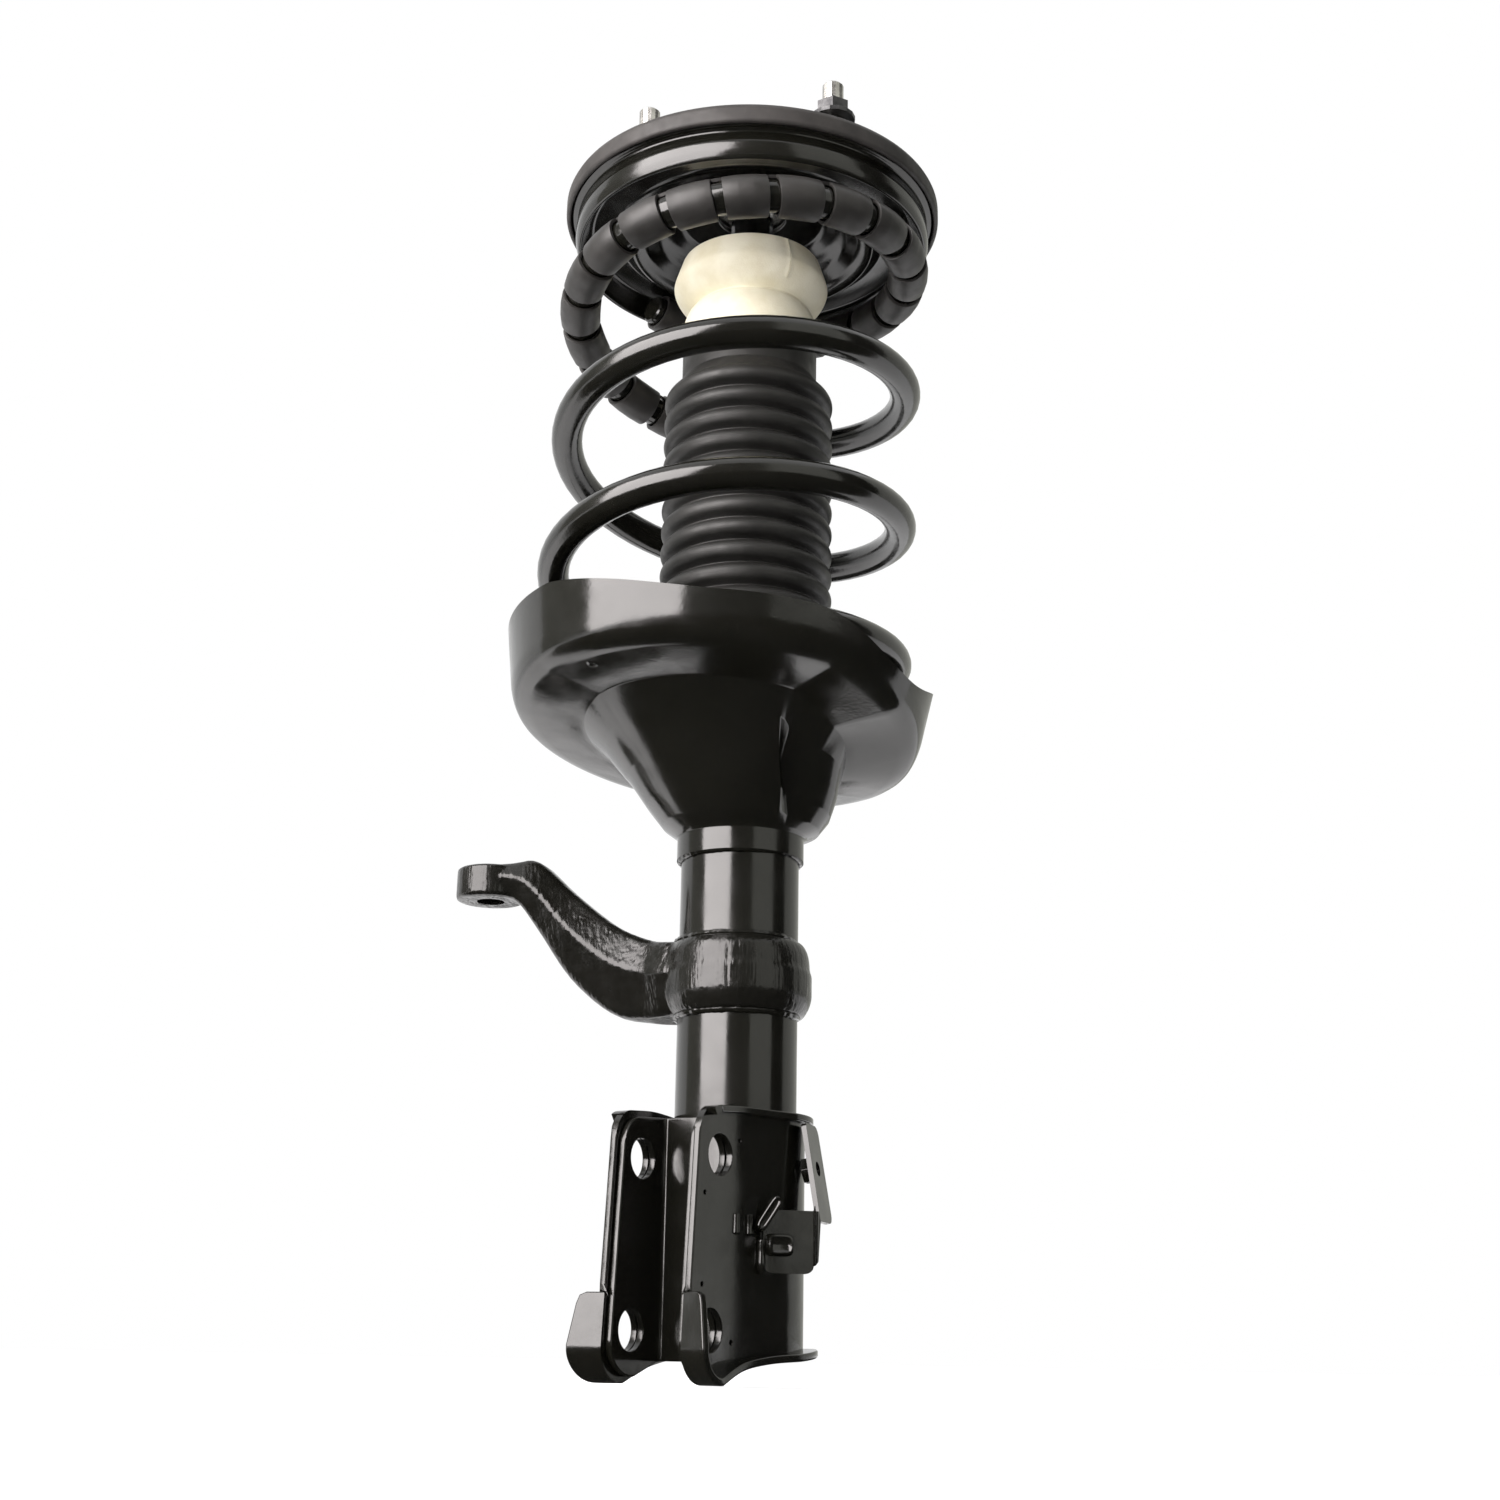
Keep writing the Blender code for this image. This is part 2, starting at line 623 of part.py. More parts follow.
def stud_nut(index, parent):
    """Flange nut run part way on to its stud."""
    name = "stud_nut_%d" % (index + 1)
    top = NUT_LIFT + NUT_HEIGHT
    flange_top = NUT_LIFT + NUT_FLANGE_HEIGHT
    nut = prism(name, circle(NUT_FLAT_RADIUS, 6), NUT_LIFT, top, "dark_steel", parent)
    flange = prism("flange", circle(NUT_FLANGE_RADIUS, SMALL_STEPS), NUT_LIFT, flange_top, None)
    combine(nut, [flange], "UNION")
    below = (0.0, 0.0, NUT_LIFT - NUT_HEIGHT)
    above = (0.0, 0.0, top + NUT_HEIGHT)
    hole = cutter(STUD_RADIUS + CLEARANCE, below, above)
    combine(nut, [hole], "DIFFERENCE")
    return move_mesh(nut, *stud_place(index), 0.0)


def mount_bush(parent):
    """Rubber bush bonded between the plate's cup and the inner sleeve."""
    inner = SLEEVE_RADIUS + CLEARANCE
    outer = CUP_RADIUS - PLATE_THICKNESS - CLEARANCE
    top = CUP_HEIGHT - 2.0 * PLATE_THICKNESS - CLEARANCE
    bottom = 0.0
    waist = (inner + outer) / 2.0
    dish = PLATE_THICKNESS
    profile = [
        (inner, top),
        (waist, top - dish),
        (outer, top),
        (outer, bottom),
        (waist, bottom + dish),
        (inner, bottom),
    ]
    return turned("mount_bush", profile, "rubber", parent, SMALL_STEPS)


def bush_sleeve(parent):
    bottom = ROD_SHOULDER_Z + CLEARANCE + WASHER_THICKNESS + CLEARANCE
    bore = ROD_STUB_RADIUS + CLEARANCE
    profile = tube_profile(bore, SLEEVE_RADIUS, bottom, SLEEVE_TOP_Z)
    return turned("bush_sleeve", profile, "bright_steel", parent, SMALL_STEPS)


def washer(name, radius, bottom, parent):
    bore = ROD_STUB_RADIUS + CLEARANCE
    profile = tube_profile(bore, radius, bottom, bottom + WASHER_THICKNESS, WASHER_THICKNESS / 4.0)
    return turned(name, profile, "zinc", parent, SMALL_STEPS)


def hex_nut(name, radius, bore, bottom, top, parent):
    """Plain hexagon nut with its bore along Z."""
    nut = prism(name, circle(radius, 6), bottom, top, "zinc", parent)
    reach = top - bottom
    hole = cutter(bore, (0.0, 0.0, bottom - reach), (0.0, 0.0, top + reach))
    return combine(nut, [hole], "DIFFERENCE")


def rod_nut(parent):
    bottom = SLEEVE_TOP_Z + CLEARANCE + WASHER_THICKNESS + CLEARANCE
    bore = ROD_STUB_RADIUS + CLEARANCE
    return hex_nut("rod_nut", ROD_NUT_RADIUS, bore, bottom, bottom + ROD_NUT_HEIGHT, parent)


def bearing_race(name, face_z, outward, parent):
    """Thrust race: a flat ring with a shallow groove facing the balls."""
    inner = BALL_CIRCLE - RACE_HALF_WIDTH
    outer = BALL_CIRCLE + RACE_HALF_WIDTH
    groove = RACE_GROOVE_HALF_WIDTH
    profile = [
        (inner, face_z),
        (BALL_CIRCLE - groove, face_z),
        (BALL_CIRCLE, face_z + outward * groove / 2.0),
        (BALL_CIRCLE + groove, face_z),
        (outer, face_z),
        (outer, face_z + outward * RACE_THICKNESS),
        (inner, face_z + outward * RACE_THICKNESS),
    ]
    return turned(name, profile, "bright_steel", parent, SMALL_STEPS)


def bearing_balls(parent):
    """Balls held in a thin cage ring."""
    centre = LOWER_RACE_TOP_Z + RACE_GAP / 2.0
    inner = BALL_CIRCLE - CAGE_HALF_WIDTH
    outer = BALL_CIRCLE + CAGE_HALF_WIDTH
    profile = tube_profile(inner, outer, centre - CAGE_HALF_HEIGHT, centre + CAGE_HALF_HEIGHT)
    ring = turned("bearing_balls", profile, "bright_steel", parent, 2 * BALL_COUNT)
    balls = []
    for i in range(BALL_COUNT):
        angle = 2.0 * math.pi * (i + 0.25) / BALL_COUNT
        made = bmesh.new()
        bmesh.ops.create_icosphere(made, subdivisions=1, radius=BALL_RADIUS)
        place = (BALL_CIRCLE * math.cos(angle), BALL_CIRCLE * math.sin(angle), centre)
        bmesh.ops.translate(made, vec=place, verts=made.verts[:])
        balls.append(mesh_object("ball", made, None))
    return combine(ring, balls, "UNION")


# Rod and piston


def piston_stack():
    """Heights of the pieces clamped under the rod's lower shoulder, from the top down."""
    shoulder = PISTON_TOP_Z + CLEARANCE + SHIM_STACK + CLEARANCE
    piston_bottom = PISTON_TOP_Z - PISTON_HEIGHT
    shim_bottom = piston_bottom - CLEARANCE - SHIM_STACK
    nut_bottom = shim_bottom - CLEARANCE - PISTON_NUT_HEIGHT
    return shoulder, shim_bottom, nut_bottom


def piston_rod(parent):
    """Chromed rod with a threaded stub for the mount and one for the piston."""
    shoulder, _, nut_bottom = piston_stack()
    top = SLEEVE_TOP_Z + 2.0 * CLEARANCE + WASHER_THICKNESS + ROD_NUT_HEIGHT + ROD_END_MARGIN
    chamfer = ROD_STUB_RADIUS / 6.0
    profile = [
        (0.0, top),
        (ROD_STUB_RADIUS - chamfer, top),
        (ROD_STUB_RADIUS, top - chamfer),
        (ROD_STUB_RADIUS, ROD_SHOULDER_Z),
        (ROD_RADIUS - chamfer, ROD_SHOULDER_Z),
        (ROD_RADIUS, ROD_SHOULDER_Z - chamfer),
        (ROD_RADIUS, shoulder),
        (PISTON_STUB_RADIUS, shoulder),
        (PISTON_STUB_RADIUS, nut_bottom - chamfer),
        (0.0, nut_bottom - chamfer),
    ]
    return turned("piston_rod", profile, "chrome", parent, SMALL_STEPS)


def shim_stack(name, bottom, parent):
    """A stack of valve shims clamped on the rod's lower stub."""
    bore = PISTON_STUB_RADIUS + CLEARANCE
    profile = tube_profile(bore, SHIM_RADIUS, bottom, bottom + SHIM_STACK)
    return turned(name, profile, "bright_steel", parent, SMALL_STEPS)


def piston_nut(parent):
    _, shim_bottom, nut_bottom = piston_stack()
    bore = PISTON_STUB_RADIUS + CLEARANCE
    return hex_nut("piston_nut", PISTON_NUT_RADIUS, bore, nut_bottom, shim_bottom - CLEARANCE, parent)


def piston(parent):
    """Sintered piston with a groove round it for the band."""
    bore = PISTON_STUB_RADIUS + CLEARANCE
    outer = CYLINDER_RADIUS - CYLINDER_WALL - 2.0 * CLEARANCE
    groove = outer - PISTON_BAND_WALL
    margin = (PISTON_HEIGHT - PISTON_BAND_HEIGHT) / 2.0
    bottom = PISTON_TOP_Z - PISTON_HEIGHT
    profile = [
        (bore, PISTON_TOP_Z),
        (outer, PISTON_TOP_Z),
        (outer, PISTON_TOP_Z - margin),
        (groove, PISTON_TOP_Z - margin),
        (groove, bottom + margin),
        (outer, bottom + margin),
        (outer, bottom),
        (bore, bottom),
    ]
    return turned("piston", profile, "dark_steel", parent, SMALL_STEPS)


def piston_band(parent):
    outer = CYLINDER_RADIUS - CYLINDER_WALL - CLEARANCE
    inner = outer + CLEARANCE - PISTON_BAND_WALL - CLEARANCE / 2.0
    margin = (PISTON_HEIGHT - PISTON_BAND_HEIGHT) / 2.0 + CLEARANCE
    profile = tube_profile(inner, outer, PISTON_TOP_Z - PISTON_HEIGHT + margin, PISTON_TOP_Z - margin)
    return turned("piston_band", profile, "filled_polymer", parent, SMALL_STEPS)


def rebound_stop(parent):
    """Ring on the rod's body, which meets the guide at full extension."""
    bottom = GUIDE_TOP_Z - GUIDE_HEIGHT - CLEARANCE - REBOUND_STOP_HEIGHT
    profile = tube_profile(ROD_RADIUS + CLEARANCE, REBOUND_STOP_RADIUS, bottom, bottom + REBOUND_STOP_HEIGHT)
    return turned("rebound_stop", profile, "filled_polymer", parent, SMALL_STEPS)


def bump_stop(parent):
    """Foam bump stop: chamfered head, waist and a tail that the boot grips."""
    bore = ROD_RADIUS + CLEARANCE
    shoulder = BUMP_TOP_Z - BUMP_CHAMFER_DROP
    waist = BUMP_TOP_Z - BUMP_WAIST_DROP
    fall = shoulder - waist
    bulge = BUMP_RADIUS - BUMP_WAIST_RADIUS
    lobe = BUMP_LOBE_RADIUS - BUMP_WAIST_RADIUS
    profile = [
        (bore, BUMP_TOP_Z),
        (BUMP_FACE_RADIUS, BUMP_TOP_Z),
        (BUMP_RADIUS - 0.06 * bulge, shoulder),
        (BUMP_RADIUS, shoulder - 0.20 * fall),
        (BUMP_RADIUS - 0.14 * bulge, shoulder - 0.45 * fall),
        (BUMP_RADIUS - 0.50 * bulge, shoulder - 0.75 * fall),
        (BUMP_RADIUS - 0.88 * bulge, shoulder - 0.93 * fall),
        (BUMP_WAIST_RADIUS, waist),
        (BUMP_LOBE_RADIUS - 0.45 * lobe, waist - 0.20 * fall),
        (BUMP_LOBE_RADIUS, waist - 0.60 * fall),
        (BUMP_LOBE_RADIUS, BOOT_TOP_Z + 2.0 * CLEARANCE),
        (BUMP_TAIL_RADIUS, BOOT_TOP_Z + 2.0 * CLEARANCE),
        (BUMP_TAIL_RADIUS, BOOT_COLLAR_Z + BUMP_TAIL_CHAMFER),
        (BUMP_TAIL_RADIUS - BUMP_TAIL_CHAMFER, BOOT_COLLAR_Z),
        (bore, BOOT_COLLAR_Z),
    ]
    return turned("bump_stop", profile, "foam_cream", parent, BOOT_STEPS)


# Upper seat, which turns with the steering


def upper_spring_seat(parent):
    """Pressed dish: flat hub, cone, ridge, spring channel, rolled bead and an outer rim."""
    cone = SEAT_RIDGE_RADIUS - SEAT_HUB_RADIUS
    fall = SEAT_HUB_Z - SEAT_RIDGE_Z
    bead = SEAT_BEAD_WIDTH
    climb = SEAT_BEAD_TOP_Z - SEAT_LIP_Z
    step = SEAT_BEAD_TOP_Z + SEAT_WALL
    under = [
        (SEAT_BORE, SEAT_HUB_Z),
        (SEAT_HUB_RADIUS, SEAT_HUB_Z),
        (SEAT_HUB_RADIUS + 0.25 * cone, SEAT_HUB_Z - 0.35 * fall),
        (SEAT_HUB_RADIUS + 0.45 * cone, SEAT_HUB_Z - 0.45 * fall),
        (SEAT_HUB_RADIUS + 0.72 * cone, SEAT_HUB_Z - 0.90 * fall),
        (SEAT_RIDGE_RADIUS, SEAT_RIDGE_Z),
        (SEAT_RIDGE_RADIUS + 1.6 * bead, SEAT_FLOOR_Z),
        (SEAT_LIP_RADIUS - 1.2 * bead, SEAT_FLOOR_Z),
        (SEAT_LIP_RADIUS, SEAT_LIP_Z + 0.15 * climb),
    ]
    outer = [
        (SEAT_LIP_RADIUS + 0.2 * bead, SEAT_LIP_Z),
        (SEAT_LIP_RADIUS + 0.6 * bead, SEAT_LIP_Z),
        (SEAT_BEAD_RADIUS, SEAT_LIP_Z + 0.25 * climb),
        (SEAT_BEAD_RADIUS, SEAT_LIP_Z + 0.70 * climb),
        (SEAT_BEAD_RADIUS - 0.3 * bead, SEAT_LIP_Z + 0.95 * climb),
        (SEAT_BEAD_RADIUS - 0.3 * bead, step),
        (SEAT_RIM_RADIUS, step + 0.4 * SEAT_WALL),
        (SEAT_RIM_RADIUS, SEAT_RIM_Z),
        (SEAT_RIM_RADIUS - SEAT_WALL, SEAT_RIM_Z),
        (SEAT_RIM_RADIUS - SEAT_WALL, step + 1.6 * SEAT_WALL),
        (SEAT_LIP_RADIUS, step + SEAT_WALL),
    ]
    over = offset_profile(under[:8], SEAT_WALL)
    return turned("upper_spring_seat", under + outer + over[::-1], "gloss_black", parent, SEAT_STEPS)


def seat_seal(parent):
    """Rubber band round the upper seat's rim."""
    inner = SEAT_RIM_RADIUS + CLEARANCE
    outer = inner + SEAL_WALL
    under = SEAT_RIM_Z + CLEARANCE
    top = under + SEAL_WALL
    bottom = SEAT_RIM_Z - SEAL_DEPTH + SEAL_WALL
    profile = [
        (inner, bottom),
        (inner, under),
        (inner - SEAL_WALL, under),
        (inner - SEAL_WALL, top),
        (outer - SEAL_WALL / 2.0, top),
        (outer, top - SEAL_WALL),
        (outer, bottom + SEAL_WALL / 2.0),
        (outer - SEAL_WALL / 3.0, bottom),
    ]
    return turned("seat_seal", profile, "rubber", parent, SEAT_STEPS)


def coil_spring(parent, points):
    """The wire as one unbroken tube along the helix."""
    curve = bpy.data.curves.new("coil_spring", "CURVE")
    curve.dimensions = "3D"
    curve.bevel_depth = WIRE_RADIUS
    curve.bevel_resolution = 2
    curve.use_fill_caps = True
    line = curve.splines.new("POLY")
    line.points.add(len(points) - 1)
    for place, point in zip(line.points, points):
        place.co = (*point, 1.0)
    spring = bpy.data.objects.new("coil_spring", curve)
    bpy.context.scene.collection.objects.link(spring)
    spring.parent = parent
    curve.materials.append(material("coil_spring", "gloss_black"))
    gap = spring_least_gap(points, SPRING_POINTS_PER_TURN // 2) - 2.0 * WIRE_RADIUS
    print("coil_spring least gap to itself %.2f mm" % (gap / MM))
    return spring


def spring_wrap(parent, points):
    """Plastic strip wound round the wire of the top coil, as one unbroken strip."""
    count = WRAP_TURNS * WRAP_POINTS_PER_TURN
    section = (
        (WRAP_INNER, 0.0),
        (WRAP_OUTER, 0.0),
        (WRAP_OUTER, 0.5),
        (WRAP_OUTER, 1.0),
        (WRAP_INNER, 1.0),
        (WRAP_INNER, 0.5),
    )
    loops = []
    for i in range(count + 1):
        start = WRAP_END_GAP + WRAP_PITCH * i / WRAP_POINTS_PER_TURN
        turn = 2.0 * math.pi * i / WRAP_POINTS_PER_TURN
        loop = []
        for radius, side in section:
            centre, ahead = place_on_line(points, start + side * WRAP_WIDTH)
            outward = ahead.cross(SPRING_AXIS).normalized()
            upward = outward.cross(ahead).normalized()
            loop.append(centre + radius * (outward * math.cos(turn) + upward * math.sin(turn)))
        loops.append(loop)
    least = float("inf")
    for here, following in zip(loops[:-WRAP_POINTS_PER_TURN], loops[WRAP_POINTS_PER_TURN:]):
        least = min(least, (here[4] - following[0]).length)
    print("spring_wrap least gap to itself %.2f mm" % (least / MM))
    made = loops_to_mesh(loops, closed_path=False)
    return mesh_object("spring_wrap", made, "wrap_plastic", parent)


def dust_boot(parent):
    """Blow-moulded boot: plain collar on the bump stop, bellows, and a foot on the tube."""
    collar = BUMP_TAIL_RADIUS + CLEARANCE + BOOT_WALL
    foot = TUBE_RADIUS + CLEARANCE
    depth = BOOT_CREST_RADIUS - BOOT_ROOT_RADIUS
    outside = [
        (collar, BOOT_TOP_Z),
        (collar, BOOT_COLLAR_Z),
        (BOOT_ROOT_RADIUS + 0.4 * depth, BOOT_COLLAR_Z - 0.55 * BOOT_SHOULDER),
    ]
    for i in range(BOOT_RIBS):
        top = BOOT_BELLOWS_Z - i * BOOT_RIB_PITCH
        outside.append((BOOT_CREST_RADIUS - 0.15 * depth, top - 0.25 * BOOT_RIB_PITCH))
        outside.append((BOOT_CREST_RADIUS, top - 0.55 * BOOT_RIB_PITCH))
        outside.append((BOOT_ROOT_RADIUS, top - BOOT_RIB_PITCH))
    outside.append((foot + BOOT_WALL, BOOT_FOOT_Z - BOOT_WALL))
    outside.append((foot + BOOT_WALL, BOOT_FOOT_Z - BOOT_FOOT_HEIGHT))
    bore = BOOT_ROOT_RADIUS - BOOT_WALL
    inside = [
        (foot, BOOT_FOOT_Z - BOOT_FOOT_HEIGHT),
        (foot, BOOT_FOOT_Z),
        (bore, BOOT_FOOT_Z + BOOT_WALL),
        (bore, BOOT_BELLOWS_Z - BOOT_WALL),
        (collar - BOOT_WALL, BOOT_COLLAR_Z - BOOT_WALL),
        (collar - BOOT_WALL, BOOT_TOP_Z),
    ]
    return turned("dust_boot", outside + inside, "matte_black", parent, BOOT_STEPS)


# Damper, which slides under the upper seat


def outer_tube(parent):
    profile = tube_profile(TUBE_BORE, TUBE_RADIUS, TUBE_BOTTOM_Z, TUBE_TOP_Z - TUBE_CAP_WALL - CLEARANCE)
    return turned("outer_tube", profile, "gloss_black", parent)


def tube_base(parent):
    """Pressed end cap inside the tube's lower end."""
    outer = TUBE_BORE - CLEARANCE
    profile = [
        (0.0, BASE_TOP_Z),
        (outer - TUBE_WALL, BASE_TOP_Z),
        (outer, BASE_TOP_Z - TUBE_WALL),
        (outer, TUBE_BOTTOM_Z),
        (outer - TUBE_WALL, TUBE_BOTTOM_Z),
        (outer - 2.0 * TUBE_WALL, BASE_TOP_Z - TUBE_WALL),
        (0.0, BASE_TOP_Z - TUBE_WALL),
    ]
    return turned("tube_base", profile, "gloss_black", parent, SMALL_STEPS)


def tube_cap(parent):
    """Pressed cap over the tube's upper end, which meets the bump stop."""
    bore = ROD_RADIUS + 2.0 * CLEARANCE
    inner = TUBE_RADIUS + CLEARANCE
    outer = inner + TUBE_CAP_WALL
    under = TUBE_TOP_Z - TUBE_CAP_WALL
    profile = [
        (bore, TUBE_TOP_Z),
        (outer - TUBE_CAP_WALL, TUBE_TOP_Z),
        (outer, TUBE_TOP_Z - TUBE_CAP_WALL),
        (outer, TUBE_TOP_Z - TUBE_CAP_DROP),
        (inner, TUBE_TOP_Z - TUBE_CAP_DROP),
        (inner, under),
        (bore, under),
    ]
    return turned("tube_cap", profile, "zinc", parent)


def rod_seal(parent):
    top = TUBE_TOP_Z - TUBE_CAP_WALL - CLEARANCE
    profile = tube_profile(ROD_RADIUS + CLEARANCE, TUBE_BORE - CLEARANCE, top - SEAL_HEIGHT, top)
    return turned("rod_seal", profile, "rubber", parent, SMALL_STEPS)


def rod_guide(parent):
    """Guide that closes the tube, with a spigot in the pressure cylinder."""
    bore = ROD_RADIUS + 2.0 * CLEARANCE + GUIDE_BUSH_WALL
    spigot = CYLINDER_RADIUS - CYLINDER_WALL - CLEARANCE
    shoulder = GUIDE_TOP_Z - GUIDE_HEIGHT + GUIDE_SPIGOT
    profile = [
        (bore, GUIDE_TOP_Z),
        (TUBE_BORE - CLEARANCE, GUIDE_TOP_Z),
        (TUBE_BORE - CLEARANCE, shoulder),
        (spigot, shoulder),
        (spigot, GUIDE_TOP_Z - GUIDE_HEIGHT),
        (bore, GUIDE_TOP_Z - GUIDE_HEIGHT),
    ]
    return turned("rod_guide", profile, "dark_steel", parent, SMALL_STEPS)


def guide_bush(parent):
    inner = ROD_RADIUS + CLEARANCE
    profile = tube_profile(inner, inner + GUIDE_BUSH_WALL, GUIDE_TOP_Z - GUIDE_HEIGHT, GUIDE_TOP_Z)
    return turned("guide_bush", profile, "bronze", parent, SMALL_STEPS)


def inner_cylinder(parent):
    bore = CYLINDER_RADIUS - CYLINDER_WALL
    profile = tube_profile(bore, CYLINDER_RADIUS, CYLINDER_BOTTOM_Z, CYLINDER_TOP_Z)
    return turned("inner_cylinder", profile, "bright_steel", parent, SMALL_STEPS)


def base_valve(parent):
    """Foot valve: a spigot in the cylinder and a wide foot on the end cap."""
    spigot = CYLINDER_RADIUS - CYLINDER_WALL - CLEARANCE
    foot_bottom = BASE_TOP_Z + CLEARANCE
    foot_top = foot_bottom + VALVE_FOOT_HEIGHT
    profile = [
        (0.0, foot_bottom + VALVE_HEIGHT),
        (spigot, foot_bottom + VALVE_HEIGHT),
        (spigot, foot_top),
        (CYLINDER_RADIUS + CYLINDER_WALL, foot_top),
        (CYLINDER_RADIUS + CYLINDER_WALL, foot_bottom),
        (0.0, foot_bottom),
    ]
    return turned("base_valve", profile, "dark_steel", parent, SMALL_STEPS)


def pan_point(r, angle, height, to_axis):
    """Upper rows of the lower seat lie round the spring's axis, lower rows round the damper's."""
    leaning = spring_frame_point(r, angle, height)
    upright = Vector((r * math.cos(angle), r * math.sin(angle), SPRING_BASE_Z + height))
    return leaning.lerp(upright, to_axis)


def rim_height(angle, floor):
    """The rim is lowest beside the step, climbs quickly, then more slowly, and is level behind."""
    away = min(abs(angle_between(angle, RIM_LOW_ANGLE)), RIM_LEVEL_ANGLE)
    first = RIM_FIRST_RISE * ease(away / RIM_FIRST_ANGLE)
    second = RIM_SECOND_RISE * ease((away - RIM_SECOND_START) / RIM_SECOND_ANGLE)
    return max(RIM_LOW_HEIGHT + first + second, floor + RIM_LEAST_WALL)


def neck_shift(angle):
    """The neck swells into a lobe on one side of a valley."""
    lobe = 1.0 - ease(abs(angle_between(angle, NECK_LOBE_ANGLE)) / NECK_LOBE_HALF_ANGLE)
    valley = 1.0 - ease(abs(angle_between(angle, NECK_VALLEY_ANGLE)) / NECK_VALLEY_HALF_ANGLE)
    return NECK_LOBE_BULGE * lobe - NECK_VALLEY_DEPTH * valley


def pan_rows(angle):
    """Outside of the lower seat at one angle: (radius, height, share centred on the damper)."""
    collar = TUBE_RADIUS + CLEARANCE + PAN_WALL
    collar_top = -NECK_DROP
    collar_bottom = collar_top - NECK_COLLAR_HEIGHT
    least = collar + PAN_WALL / 2.0
    floor = lower_floor_height(angle) - PAN_WALL
    rim = rim_height(angle, floor)
    corner = min(PAN_CORNER, 0.8 * (rim - floor))
    wall = PAN_RADIUS - PAN_TAPER
    flare = PAN_TAPER * min(1.0, (rim - floor) / (3.0 * PAN_CORNER))
    inner = floor - PAN_FLOOR_DISH
    drop = inner - collar_top
    shift = neck_shift(angle)
    upper = (PAN_FLOOR_INNER + NECK_MIDDLE_RADIUS) / 2.0
    lower = (NECK_MIDDLE_RADIUS + NECK_LOWER_RADIUS) / 2.0
    return [
        (wall + flare, rim, 0.0),
        (wall, floor + corner, 0.0),
        (wall - 0.3 * corner, floor + 0.3 * corner, 0.0),
        (wall - PAN_CORNER, floor, 0.0),
        (PAN_FLOOR_INNER, inner, 0.0),
        (upper + 0.6 * shift, inner - 0.2 * drop, 0.2),
        (NECK_MIDDLE_RADIUS + shift, inner - 0.45 * drop, 0.5),
        (max(lower + shift, least), inner - 0.7 * drop, 0.8),
        (max(NECK_LOWER_RADIUS + 0.5 * shift, least), inner - 0.88 * drop, 0.95),
        (collar + PAN_WALL / 2.0, collar_top + PAN_WALL / 2.0, 1.0),
        (collar, collar_top, 1.0),
        (collar, collar_bottom, 1.0),
    ]


def lower_spring_seat(parent):
    """Pressed pan: rim, helical floor with its step, lobed neck, and the collar welded to the tube."""
    loops = []
    for i in range(PAN_STEPS):
        angle = 2.0 * math.pi * i / PAN_STEPS
        rows = pan_rows(angle)
        under = [(r, h) for r, h, _ in rows]
        over = offset_profile(under, -PAN_WALL)
        share = [to_axis for _, _, to_axis in rows]
        loop = [pan_point(r, angle, h, w) for (r, h), w in zip(under, share)]
        loop += [pan_point(r, angle, h, w) for (r, h), w in zip(over[::-1], share[::-1])]
        loops.append(loop)
    return mesh_object("lower_spring_seat", loops_to_mesh(loops), "gloss_black", parent)


def arm_section(distance, middle_z, height, width):
    """Upright eight-sided section of the forged arm."""
    along = Vector((math.cos(ARM_ANGLE), math.sin(ARM_ANGLE), 0.0))
    across = Vector((-math.sin(ARM_ANGLE), math.cos(ARM_ANGLE), 0.0))
    half_w = width / 2.0
    half_h = height / 2.0
    c = ARM_EDGE_CHAMFER
    corners = [
        (half_w - c, half_h),
        (half_w, half_h - c),
        (half_w, c - half_h),
        (half_w - c, -half_h),
        (c - half_w, -half_h),
        (-half_w, c - half_h),
        (-half_w, half_h - c),
        (c - half_w, half_h),
    ]
    centre = along * distance + Vector((0.0, 0.0, middle_z))
    return [centre + across * x + Vector((0.0, 0.0, z)) for x, z in corners]


